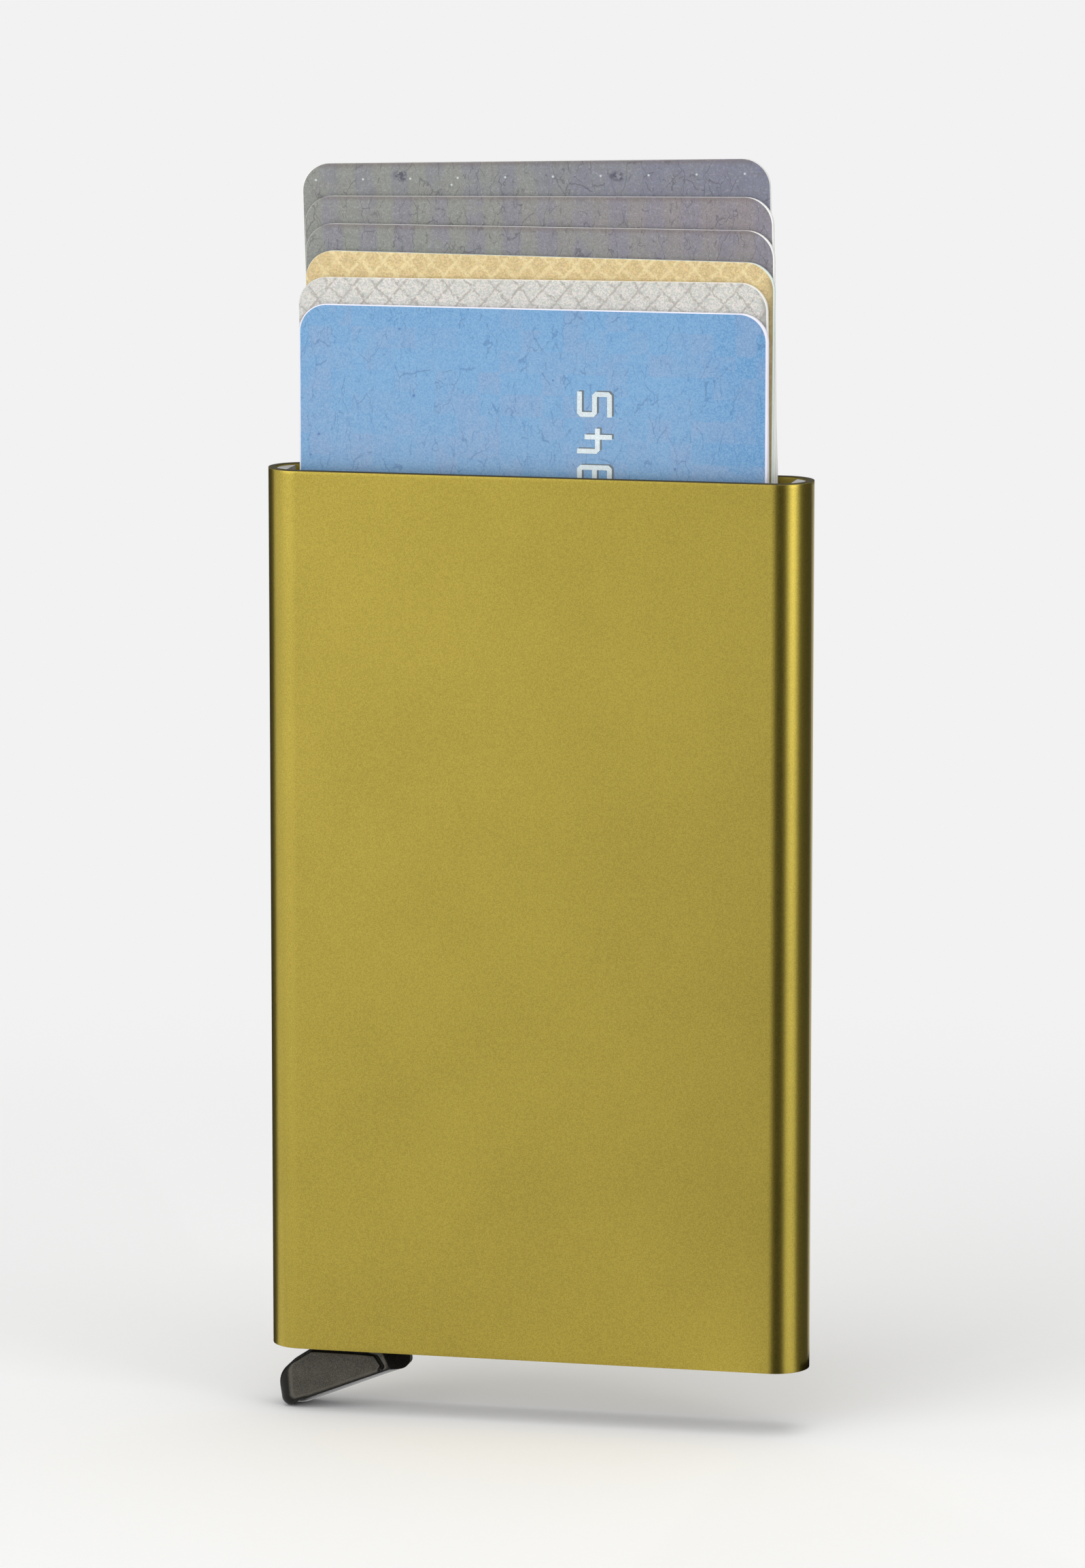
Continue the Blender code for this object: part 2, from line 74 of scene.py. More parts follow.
# The case's section: a stadium, with flat faces and half-round sides. Up the wall, the first ring is at the
# end's distance from the edge, and the others are spread evenly between the inner distances
CASE_HIGH = np.array(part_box("case_tube")[1]) / MM
CASE_HEIGHT = CASE_HIGH[2]
SIDE_RADIUS = CASE_HIGH[1]
HALF_FLAT = CASE_HIGH[0] - SIDE_RADIUS
CASE_WALL = 0.8
WALL_END, WALL_INNER, WALL_RINGS = 0.5, 4, 24

# Cards from front to back: name, lean in degrees with the right end up, and whether a chip is let into it
CARDS = (
    ("card_1_blue", 0.0, True),
    ("card_2_silver", 0.5, True),
    ("card_3_gold", -0.36, True),
    ("card_4_dark", 0.23, False),
    ("card_5_dark", 0.96, False),
    ("card_6_dark", 1.7, False),
)
CARD_SLOTS = "blue_card", "silver_card", "gold_card", "dark_card", "dark_card", "dark_card"
CARD_WIDTH, CARD_LENGTH, CARD_THICKNESS, CARD_CORNER = 53.98, 85.6, 0.76, 3.18

# A card's softened edge and the narrow frame inside it, and the chip: its place from the card's middle, its
# size, its corner, the gap round it, its pocket's depth and the grooves at both sides of its middle pad
EDGE_SOFT, FACE_FRAME = 0.09, 0.05
CHIP_PLACE = -3.09, -27.7
CHIP_SIZE = 11.4, 12.6
CHIP_CORNER, CHIP_GAP, CHIP_POCKET, CHIP_COLUMN = 1.2, 0.1, 0.3, 2.2

# Prints: the lattice's pitch across and up, the squares' and bands' pitch, the dot row's pitch and place, the
# odd dot, the two scuffs, and how far apart the cards' noises are taken
LATTICE_PITCH = 2.75, 3.1
SQUARE_PITCH, BAND_PITCH = 2.45, 4.15
DOT_PITCH, DOT_HEIGHT, DOT_TILT = 5.5, 41.05, 0.004
DOT_START, DOT_SHIFT = -26.6, 1.28
ODD_DOT = -9.55, 40.25
SCUFFS = (-15.4, 41.3), (9.6, 41.0)
CARD_SHIFT = 40

# Lever: its pivot, its depth, its hub, and the root of its arms as measured from the pivot
PIVOT = -25.7, 3.5
LEVER_DEPTH = 5.0
HUB_RADIUS, HUB_BORE, HUB_POCKET, POCKET_DEPTH = 2.7, 1.1, 2.1, 1.1
HUB_SOFT, HUB_STEPS = 0.15, 48
ROOT_REACH, ROOT_BACK, ROOT_SOFT = 9.8, 1.3, 0.1
ROOT_TOP, ROOT_LOW = 6.0, 0.9
ROOT_BACK_TOP, ROOT_BACK_LOW = 2.3, -1.0

# Thumb tab: its outline and the edge of its flat panel have matching corners, each with x, z and a corner
# radius. Beside each corner lie the depth of the rounded slope between the two, the depth of an even draft
# that is added past its start, and the depth of the groove just outside the panel. The facet at the right
# end is a plane that falls back from its start
TAB_OUTLINE = (
    (-15.72, 0.35, 0.7), (-18.4, 2.6, 1.2), (-22.6, 4.5, 1.0), (-25.6, 4.2, 0.6),
    (-25.5, 0.05, 1.5), (-30.7, -3.39, 2.6), (-30.2, -7.42, 1.1), (-28.0, -7.42, 4.0),
    (-18.4, -3.535, 0.3), (-15.52, -2.35, 0.7),
)
TAB_PANEL = (
    (-19.25, -0.89, 0.25), (-20.8, -0.88, 0.3), (-23.4, -0.87, 0.3), (-25.9, -0.86, 0.2),
    (-26.7, -0.88, 0.2), (-28.6, -2.2, 0.9), (-28.4, -5.95, 0.3), (-26.5, -5.22, 0.2),
    (-18.85, -2.24, 0.2), (-18.4, -2.06, 0.25),
)
TAB_SLOPE = (0.0, 0.6, 0.6, 0.6, 0.6, 1.3, 1.4, 1.5, 1.5, 1.3)
TAB_DRAFT = (0.0, 0.0, 0.0, 0.0, 0.0, 0.0, 0.0, 1.4, 1.5, 1.1)
DRAFT_START = 0.5
TAB_GROOVE = (0.35, 0.3, 0.3, 0.3, 0.3, 0.0, 0.0, 0.0, 0.0, 0.35)
GROOVE_PLACE, GROOVE_HALF = 0.42, 0.42
FACET_START, FACET_TILT, FACET_SLOPE, FACET_DEPTH = -17.35, 0.42, 1.8, 3.6
TAB_ARC_STEPS, TAB_SIDE_STEPS, TAB_RINGS = 8, 10, 24

# Digits: strokes on a grid one wide and one tall, and whether each stroke closes on itself
DIGIT_STROKES = {
    " ": (),
    "0": ((((0, 0), (1, 0), (1, 1), (0, 1)), True),),
    "1": ((((0.15, 0.8), (0.5, 1), (0.5, 0)), False), (((0.1, 0), (0.9, 0)), False)),
    "2": ((((0, 1), (1, 1), (1, 0.5), (0, 0.5), (0, 0), (1, 0)), False),),
    "3": ((((0, 1), (1, 1), (1, 0), (0, 0)), False), (((0.2, 0.5), (1, 0.5)), False)),
    "4": ((((0, 1), (0, 0.4), (1, 0.4)), False), (((0.7, 0.75), (0.7, 0)), False)),
    "5": ((((1, 1), (0, 1), (0, 0.5), (1, 0.5), (1, 0), (0, 0)), False),),
    "6": ((((0.9, 1), (0, 1), (0, 0), (1, 0), (1, 0.5), (0, 0.5)), False),),
    "7": ((((0, 1), (1, 1), (1, 0.7), (0.5, 0.35), (0.5, 0)), False),),
    "8": ((((0, 0), (1, 0), (1, 1), (0, 1)), True), (((0, 0.5), (1, 0.5)), False)),
    "9": ((((1, 0.5), (0, 0.5), (0, 1), (1, 1), (1, 0), (0.1, 0)), False),),
}

# Each digit's width, its stroke's width and the cut at a turn, the pitch of digits and the gap of groups, how
# far the print stands up and each later stroke less, the row's upper end and its foot, and the shadow's shift
DIGIT_WIDTH, DIGIT_STROKE, DIGIT_CUT = 2.3, 0.55, 0.22
DIGIT_PITCH, DIGIT_GAP = 4.14, 2.2
DIGIT_RISE, RISE_STEP = 0.02, 0.004
ROW_END, ROW_FOOT = 109.1, 8.62
SHADOW_SHIFT = 0.22, 0.14

# Stage, in metres: the levels of the world's light and of the pale background, the floor and the camera. In
# millimetres: where the floor fades to the background, and the point in front of the tab that its low
# boards turn about
WORLD_LEVEL, PALE = 0.45, 0.887
FLOOR_HALF, FLOOR_DROP, BOARD_RISE, LAMP_TARGET = 9.0, 0.00002, 0.0003, 0.06
BOARD_POINTS = 17
FLOOR_FADE = 90, 260
TAB_MIDDLE = -23, -40
CAMERA_PLACE = 0.192207, -0.848566, 0.212531
CAMERA_AZIMUTH, CAMERA_ELEVATION = 12.741, 9.534
CAMERA_LENS, SENSOR_WIDTH = 178.24, 36


def linear(red, green, blue):
    """A colour from its 0 to 255 screen values: the screen's curve is undone."""
    shares = np.array((red, green, blue)) / 255
    return tuple(np.where(shares <= 0.04045, shares / 12.92, ((shares + 0.055) / 1.055) ** 2.4).tolist())


def tint(colour, share):
    """A colour at a share of its brightness, or three numbers in another unit."""
    return tuple(part * share for part in colour)


# The two glitter prints: the flakes' glint, the lattice's colour, its strength and width, and the card's edge
GLITTER_PRINTS = (
    (linear(226, 222, 215), linear(146, 137, 130), 0.6, 0.32, linear(240, 240, 238)),
    (linear(226, 202, 146), linear(244, 230, 180), 0.5, 0.5, linear(226, 238, 232)),
)

# The three dark prints: the hue at the right end, the colour of the bands, and how strong these are
DARK_PRINTS = (
    (linear(142, 130, 140), linear(128, 124, 150), 0.55),
    (linear(146, 130, 142), linear(130, 126, 150), 0.55),
    (linear(112, 114, 148), linear(120, 120, 146), 0.4),
)


# Mesh makers. Every surface is a grid of rings, in millimetres, turned to metres at the end


def placed(name, data):
    """A new object in the scene, at the origin."""
    made = bpy.data.objects.new(name, data)
    bpy.context.scene.collection.objects.link(made)
    return made


def solid(name, *grids):
    """One mesh object from grids of rings, each with whether its ends are closed by flat faces.

    Point (i, j) of a grid joins (i, j + 1) round its ring and (i + 1, j) on the next ring. Where the ends
    aren't closed, the last ring joins the first.
    """
    points, faces, count = [], [], 0
    for rings, capped in grids:
        rows, columns = rings.shape[:2]
        index = np.arange(rows * columns).reshape(rows, columns) + count
        count += rows * columns
        points.append(rings.reshape(-1, 3))
        if capped:
            faces += [index[0].tolist(), index[-1].tolist()]
        else:
            index = np.vstack((index, index[:1]))
        beside = np.roll(index, -1, axis=1)
        quads = np.stack((index[:-1], beside[:-1], beside[1:], index[1:]), axis=-1)
        faces += quads.reshape(-1, 4).tolist()
    mesh = bpy.data.meshes.new(name)
    mesh.from_pydata((np.vstack(points) * MM).tolist(), [], faces)
    outward = bmesh.new()
    outward.from_mesh(mesh)
    bmesh.ops.recalc_face_normals(outward, faces=outward.faces)
    outward.to_mesh(mesh)
    outward.free()
    mesh.shade_smooth()
    mesh.set_sharp_from_angle(angle=math.radians(SHARP_ANGLE))
    return placed(name, mesh)


def unit(vectors):
    """The same vectors at length one."""
    return vectors / np.linalg.norm(vectors, axis=-1, keepdims=True)


def rounded_polygon(corners, steps, sides):
    """A closed outline with round corners, each an arc of equal steps, and each side cut into equal lengths.

    An arc's centre is on the corner's bisector, radius / sin(half the angle) from the corner, and the arc
    touches each side radius / tan(half the angle) from it.
    """
    corners = np.array(corners, float)
    place, radius = corners[:, :2], corners[:, 2:]
    before, after = unit(np.roll(place, 1, 0) - place), unit(np.roll(place, -1, 0) - place)
    half = np.arccos(np.sum(before * after, 1, keepdims=True)) / 2
    centre = place + unit(before + after) * radius / np.sin(half)
    start, end = place + before * radius / np.tan(half), place + after * radius / np.tan(half)
    first = np.arctan2(*(start - centre).T[::-1])
    turn = np.arctan2(*(end - centre).T[::-1]) - first
    turn = (turn + np.pi) % (2 * np.pi) - np.pi
    angle = first[:, None] + turn[:, None] * np.linspace(0, 1, steps + 1)
    arcs = centre[:, None] + radius[:, None] * np.stack((np.cos(angle), np.sin(angle)), -1)
    share = np.linspace(0, 1, sides + 1)[1:-1, None]
    edges = end[:, None] * (1 - share) + np.roll(start, -1, 0)[:, None] * share
    return np.concatenate((arcs, edges), 1).reshape(-1, 2)


def rounded_rectangle(width, height, radius):
    """A rounded polygon with four equal corners, about its own middle."""
    x, z = width / 2, height / 2
    corners = (x, z, radius), (-x, z, radius), (-x, -z, radius), (x, -z, radius)
    return rounded_polygon(corners, steps=10, sides=6)


def upright(outline, depth):
    """A ring that stands up: the outline's two numbers are x and z, and the depth is y."""
    return np.stack((outline[:, 0], np.broadcast_to(depth, outline.shape[:1]), outline[:, 1]), -1)


def stadium_path(arc_steps=40, flat_steps=18):
    """The case's outline as a middle and an outward turn at each point.

    A point at radius r is (middle + r cos turn, r sin turn). The turn goes half round at each end while the
    middle stays, and stays along each flat while the middle moves, closer together near the flat's ends.
    """
    along = np.linspace(0, 1, flat_steps + 1)[1:-1]
    along = along - np.sin(2 * np.pi * along) / (2 * np.pi)
    half = np.linspace(-np.pi / 2, np.pi / 2, arc_steps + 1)
    middle = np.concatenate((np.ones(half.size), 1 - 2 * along, -np.ones(half.size), 2 * along - 1))
    flat = np.full(along.size, np.pi / 2)
    return middle * HALF_FLAT, np.concatenate((half, flat, half + np.pi, flat + np.pi))


# Shader nodes


def maths(operation, reflected=False):
    """A method that adds a Math node of one operation, with its numbers the other way round if reflected."""

    def method(self, *others):
        numbers = (*others, self) if reflected else (self, *others)
        return self.nodes.node("ShaderNodeMath", {"operation": operation}, dict(enumerate(numbers)))

    return method


class Value:
    """A number that varies over a surface. Python's operators on it add the Math nodes."""

    def __init__(self, nodes, socket):
        self.nodes = nodes
        self.socket = socket

    __add__, __radd__ = maths("ADD"), maths("ADD", reflected=True)
    __sub__, __rsub__ = maths("SUBTRACT"), maths("SUBTRACT", reflected=True)
    __mul__, __rmul__ = maths("MULTIPLY"), maths("MULTIPLY", reflected=True)
    __truediv__, __rtruediv__ = maths("DIVIDE"), maths("DIVIDE", reflected=True)
    __pow__, __rpow__ = maths("POWER"), maths("POWER", reflected=True)
    __abs__, floor, wave = maths("ABSOLUTE"), maths("FLOOR"), maths("SINE")
    least, most = maths("MINIMUM"), maths("MAXIMUM")


class Nodes:
    """The nodes of a material or of the world."""

    def __init__(self, owner):
        owner.use_nodes = True
        self.tree = owner.node_tree

    def feed(self, socket, value):
        """A socket gets a link from a Value, or a plain number or colour."""
        if isinstance(value, Value):
            self.tree.links.new(value.socket, socket)
        elif isinstance(value, tuple) and len(value) == 3 and socket.type == "RGBA":
            socket.default_value = (*value, 1)
        else:
            socket.default_value = value

    def node(self, kind, settings, sockets, output=0):
        """Any node: its settings first, then the values or links of its sockets."""
        made = self.tree.nodes.new(kind)
        for setting, value in settings.items():
            setattr(made, setting, value)
        for socket, value in sockets.items():
            self.feed(made.inputs[socket], value)
        return Value(self, made.outputs[output])

    def seen(self):
        """1 where the camera, gloss or glass looks at it, and 0 where it gives light."""
        seen = self.node("ShaderNodeLightPath", {}, {})
        rays = seen.socket.node.outputs
        for ray in ("Is Glossy Ray", "Is Transmission Ray"):
            seen = seen.most(Value(self, rays[ray]))
        return seen


class Finish(Nodes):
    """A material under a name, with its shader's plain numbers set on the shader's own sockets."""

    def __init__(self, name, **numbers):
        self.material = bpy.data.materials.new(name)
        super().__init__(self.material)
        self.shader = self.tree.nodes["Principled BSDF"]
        for socket, number in numbers.items():
            self.shader.inputs[socket.replace("_", " ").title().replace("Ior", "IOR")].default_value = number

    def millimetres(self, centre=(0, 0, 0), lean=0.0):
        """The place on the piece in millimetres, from a centre and turned with a card's lean."""
        place = self.node("ShaderNodeTexCoord", {}, {}, output=3)
        sockets = {"Vector": place, "Location": tint(centre, MM), "Scale": (MM, MM, MM)}
        sockets["Rotation"] = (0, -math.radians(lean), 0)
        return self.node("ShaderNodeMapping", {"vector_type": "TEXTURE"}, sockets)

    def stretched(self, place, *shares):
        """The place with each axis at a share of itself. A small share stretches a pattern along its axis."""
        return self.node("ShaderNodeMapping", {}, {"Vector": place, "Scale": shares})

    def axis(self, place, name):
        """One of the place's three numbers, by the axis's letter."""
        return self.node("ShaderNodeSeparateXYZ", {}, {"Vector": place}, output="XYZ".index(name))

    def noise(self, place, size, detail=2.0, rough=0.5):
        """Soft noise about 0.5 whose blobs are about so many millimetres across."""
        sockets = {"Vector": place, "Scale": 1 / size, "Detail": detail, "Roughness": rough}
        return self.node("ShaderNodeTexNoise", {}, sockets)

    def cells(self, place, size, feature="F1", output="Distance"):
        """Voronoi cells about so many millimetres across."""
        sockets = {"Vector": place, "Scale": 1 / size}
        return self.node("ShaderNodeTexVoronoi", {"feature": feature}, sockets, output=output)

    def step(self, value, low, high):
        """A smooth step from 0 at low to 1 at high."""
        sockets = {"Value": value, "From Min": low, "From Max": high}
        return self.node("ShaderNodeMapRange", {"interpolation_type": "SMOOTHSTEP"}, sockets)

    def mix(self, factor, first, second):
        """A colour between two, by a factor of 0 to 1."""
        return self.node("ShaderNodeMix", {"data_type": "RGBA"}, {0: factor, 6: first, 7: second}, output=2)

    def layers(self, face, *layers):
        """Colours laid over a face in turn, each by its own factor of 0 to 1."""
        for factor, colour in layers:
            face = self.mix(factor, face, colour)
        return face

    def bump(self, height, depth):
        """A normal from a height of 0 to 1, whose full rise is so many millimetres."""
        return self.node("ShaderNodeBump", {}, {"Height": height, "Distance": depth * MM, "Strength": 1.0})

    def show(self, colour, roughness=None, normal=None, metallic=None):
        """What varies over the surface goes to the shader, and the material is given back."""
        varying = {"Base Color": colour, "Roughness": roughness, "Normal": normal, "Metallic": metallic}
        for socket, value in varying.items():
            if value is not None:
                self.feed(self.shader.inputs[socket], value)
        return self.material


def wear(piece, material):
    """Gives a piece, or a CAD node by name, one material in every slot."""
    if isinstance(piece, str):
        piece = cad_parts[piece]
    if not piece.material_slots:
        piece.data.materials.append(material)
    for part in piece.material_slots:
        part.material = material
    return piece


def anodised(settings):
    """Matt anodised aluminium: blasted grain, faint clouds, rubbed ends and a dark line of painted shade at
    the top.
    """
    finish = Finish("anodised_aluminium", metallic=1.0)
    here = finish.millimetres()
    grain = finish.noise(here, 0.11, rough=0.6)
    speckle = finish.step(grain, 0.36, 0.64)
    clouds = finish.step(finish.noise(here, 14, detail=3), 0.3, 0.7)
    height = finish.axis(here, "Z")
    ends = finish.step(height, CASE_HEIGHT - 0.3, CASE_HEIGHT).most(1 - finish.step(height, 0.0, 0.12))
    # Painted shade: the tube's top tenth of a millimetre is painted near black and not metallic, standing in
    # for the shade in the gap between the front card and the wall
    rim_shade = finish.step(height, CASE_HEIGHT - 0.13, CASE_HEIGHT - 0.04)
    rubs = finish.step(finish.noise(finish.stretched(here, 1, 1, 0.3), 0.8, detail=4), 0.5, 0.8)
    base = tuple(settings.colour)
    colour = finish.layers(
        tint(base, 0.8),
        (speckle * 0.8 + clouds * 0.2, tint(base, 1.1)),
        (ends * rubs * 0.2, (0.7, 0.6, 0.3)),
        (rim_shade, tint(base, 0.06)),
    )
    roughness = settings.roughness + (grain - 0.5) * 0.1 + rim_shade * 0.5
    return finish.show(colour, roughness, finish.bump(grain, 0.004), metallic=1 - rim_shade)


def moulded(name, colour, roughness, grain_size=0.17, grain_depth=0.03):
    """Moulded plastic: an even eroded grain, slightly polished where it stands up."""
    finish = Finish(name)
    here = finish.millimetres()
    grain = finish.noise(here, grain_size)
    clouds = finish.noise(here, 5, detail=3)
    light = finish.step(clouds, 0.3, 0.7) * 0.3 + finish.step(grain, 0.35, 0.65) * 0.7
    shade = finish.mix(light, tint(colour, 0.7), colour)
    return finish.show(shade, roughness + (grain - 0.5) * 0.3, finish.bump(grain, grain_depth))


def lever_moulding(colour):
    """Black moulding: a fine eroded grain on the tab's flat front, and smooth slopes and grooves painted
    darker as shade.

    The front is flat where the depth is the lever's own, and a thin line round it is a painted highlight.
    """
    finish = Finish("lever_plastic", specular_ior_level=0.2)
    here = finish.millimetres()
    fall = finish.axis(here, "Y") + LEVER_DEPTH / 2
    flat = 1 - finish.step(fall, 0.03, 0.14)
    # Painted highlight: a thin paler line just round the flat front's edge
    edge = finish.step(fall, 0.0, 0.02) * flat
    grain = finish.noise(here, 0.13, detail=3, rough=0.7)
    clouds = finish.noise(here, 2.5, detail=4)
    light = finish.step(grain, 0.36, 0.64) * 0.75 + finish.step(clouds, 0.3, 0.7) * 0.25
    front = finish.layers(tint(colour, 0.48), (light, tint(colour, 1.5)), (edge * 0.3, tint(colour, 2.4)))
    # Painted shade: the slopes, grooves and facet off the flat front are painted near black
    shade = finish.mix(flat, tint(colour, 0.12), front)
    return finish.show(shade, 0.28 + flat * 0.27 + (grain - 0.5) * 0.2, finish.bump(grain, 0.02))


def drawn_steel():
    """Drawn steel: fine lines along the wire or rod."""
    finish = Finish("drawn_steel", metallic=1.0)
    lines = finish.noise(finish.stretched(finish.millimetres(), 1, 0.05, 1), 0.05)
    colour = finish.mix(lines, (0.42, 0.42, 0.42), (0.62, 0.62, 0.61))
    return finish.show(colour, 0.22 + lines * 0.15, finish.bump(lines, 0.002))


def pile():
    """Short dense pile: tufts of 0.2 mm with darker roots."""
    finish = Finish("grey_pile_cloth", sheen_weight=0.3, sheen_roughness=0.5)
    here = finish.millimetres()
    tufts = finish.cells(here, 0.22)
    colour = finish.mix(finish.step(tufts, 0.1, 0.7), (0.42, 0.42, 0.42), (0.2, 0.2, 0.2))
    return finish.show(colour, 0.9 - tufts * 0.1, finish.bump(1 - tufts, 0.12))


def laminate_edge(finish, place, face, edge_colour, left, right, above=0.0):
    """The print on the card's faces, and on its sides the pale core between two thin printed layers.

    The print ends inside the outline by a margin at the left, one at the right and one at the ends, on a
    rounded rectangle: a point is past it where its distance from the corner's centre is over the radius.
    """
    corner = CARD_CORNER - above
    across, up, depth = (finish.axis(place, name) for name in "XZY")
    past_right = across - (CARD_WIDTH / 2 - right - corner)
    past_x = past_right.most(left + corner - CARD_WIDTH / 2 - across).most(0)
    past_z = (abs(up) - (CARD_LENGTH / 2 - above - corner)).most(0)
    outside = finish.step((past_x * past_x + past_z * past_z) ** 0.5, corner - 0.02, corner + 0.04)
    core = 1 - finish.step(abs(depth), CARD_THICKNESS / 2 - 0.16, CARD_THICKNESS / 2 - 0.08)
    layers = finish.noise(finish.stretched(place, 0.2, 12, 0.2), 1.0, detail=1)
    layer_colour = finish.mix(layers, tint(edge_colour, 0.9), edge_colour)
    return finish.mix(core.most(outside), face, layer_colour)


def warped(finish, place, scale, amount):
    """The place moved about by a coloured noise, by an amount in millimetres."""
    settings = {"data_type": "RGBA", "blend_type": "LINEAR_LIGHT"}
    wander = finish.node("ShaderNodeTexNoise", {}, {"Vector": place, "Scale": scale, "Detail": 3.0}, output=1)
    return finish.node("ShaderNodeMix", settings, {0: amount, 6: place, 7: wander}, output=2)


def hairlines(finish, place, size, width, amount):
    """Fine upright wrinkles: borders between warped Voronoi cells, in patches where a noise is high."""
    long_cells = finish.stretched(warped(finish, place, 1.2 / size, size * 0.35), 1, 1, 0.3)
    border = finish.cells(long_cells, size, feature="DISTANCE_TO_EDGE")
    line = 1 - finish.step(border, 0.3 * width / size, width / size)
    patches = finish.step(finish.noise(place, size * 0.9, detail=3), 0.62 - amount, 0.68 - amount)
    return line * patches


def mosaic(finish, place, pitch):
    """Faint squares: each cell of a square grid has its own random shade, with slightly ragged borders."""
    flat = finish.stretched(warped(finish, place, 2.5, 0.3), 1, 0, 1)
    sockets = {"Vector": flat, "Scale": 1 / pitch, "Randomness": 0.0}
    shade = finish.node("ShaderNodeTexVoronoi", {"distance": "CHEBYCHEV"}, sockets, output=1)
    return finish.step(finish.axis(shade, "X"), 0.35, 0.95)


def middle_of(name):
    """The middle of a CAD node's box, in millimetres."""
    low, high = (np.array(corner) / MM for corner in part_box(name))
    return tuple(((low + high) / 2).tolist())


def blue_laminate(settings, index, centre, lean):
    """Blue print under a satin laminate: deeper along the top and sides, with a faint mosaic and wrinkles."""
    finish = Finish(f"{CARD_SLOTS[index]}_print", coat_weight=0.2, coat_roughness=0.3)
    here = finish.millimetres(centre, lean)
    across, height = finish.axis(here, "X"), finish.axis(here, "Z")
    clouds = finish.noise(here, 5, detail=5, rough=0.65)
    wander = (clouds - 0.5) * 9
    blue = tuple(settings.blue)
    deep = blue[0] * 0.5, blue[1] * 0.76, blue[2] * 0.88
    rim = finish.step(across + wander * 0.6, 14, 27).most(finish.step(wander * 0.6 - across, 21, 29) * 0.4)
    rim = rim.most(finish.step(height + wander, 37, 43) * 0.3)
    low = 1 - finish.step(height + wander, 20, 38)
    squares = mosaic(finish, here, SQUARE_PITCH) * finish.step(finish.noise(here, 3), 0.25, 0.55)
    blotch = finish.step(finish.noise(here, 1.1, detail=5, rough=0.8), 0.42, 0.66)
    fine = finish.noise(here, 0.15, detail=3, rough=0.8)
    marks = hairlines(finish, here, 3.6, 0.04, 0.16).most(hairlines(finish, here, 1.8, 0.045, 0.1))
    specks = 1 - finish.step(finish.cells(here, 3.4), 0.035, 0.06)
    face = finish.layers(
        blue,
        (low * 0.6, linear(114, 149, 187)),
        (rim * 0.85, deep),
        (squares * 0.52, linear(128, 150, 188)),
        (blotch * 0.3, deep),
        (finish.step(fine, 0.38, 0.62) * 0.34, linear(172, 202, 224)),
        (marks * 0.38, linear(60, 100, 150)),
        (specks * 0.6, linear(52, 92, 158)),
    )
    colour = laminate_edge(finish, here, face, linear(236, 235, 248), 0.16, 0.28, 0.1)
    return finish.show(colour, 0.4 + marks * 0.2 + (fine - 0.5) * 0.2, finish.bump(fine, 0.006))


def glitter_laminate(settings, index, centre, lean):
    """Metal flake print: small flakes of different brightness, and a lattice of crossing slant lines.

    The lines lie where across / pitch + height / pitch, or the same with the height's term taken off, is a
    whole number: there the sine of its product with pi is nought.
    """
    glint, line, strength, spread, edge = GLITTER_PRINTS[index - 1]
    base = tuple((settings.silver, settings.gold)[index - 1])
    finish = Finish(f"{CARD_SLOTS[index]}_print", coat_weight=0.25, coat_roughness=0.25)
    here = finish.millimetres(centre, lean)
    wander = (finish.noise(here, 0.8, detail=4, rough=0.7) - 0.5) * 1.5
    across, height = finish.axis(here, "X") + wander, finish.axis(here, "Z") + wander * 0.6
    along, rise = across * (math.pi / LATTICE_PITCH[0]), height * (math.pi / LATTICE_PITCH[1])
    first, second = abs((along + rise).wave()), abs((along - rise).wave())
    worn = finish.step(finish.noise(here, 0.5, detail=3, rough=0.7), 0.3, 0.55)
    lattice = (1 - finish.step(first.least(second), 0.05, spread)) * worn
    flake_colour = finish.cells(here, 0.14, output="Color")
    flake = finish.axis(flake_colour, "X")
    grain = finish.noise(here, 0.19, detail=4, rough=0.8)
    clouds = finish.noise(here, 7, detail=3)
    # Painted shade: a band along the card's right edge, where the card in front shades it, is painted darker
    border = finish.step(finish.axis(here, "X"), CARD_WIDTH / 2 - 1.1, CARD_WIDTH / 2 - 0.2)
    face = finish.layers(
        base,
        (finish.step(flake * 0.4 + grain * 0.6, 0.3, 0.72), glint),
        (0.06, flake_colour),
        (lattice * strength, line),
        (finish.step(clouds, 0.4, 0.75) * 0.2, tint(base, 0.8)),
        (border * 0.65, tint(base, 0.5)),
    )
    colour = laminate_edge(finish, here, face, edge, 0.05, 0.16, 0.02)
    height_map = grain * 0.5 + flake * 0.2 - lattice * 0.4 + 0.4
    return finish.show(colour, 0.34 + flake * 0.2, finish.bump(height_map, 0.02), metallic=flake * 0.2)


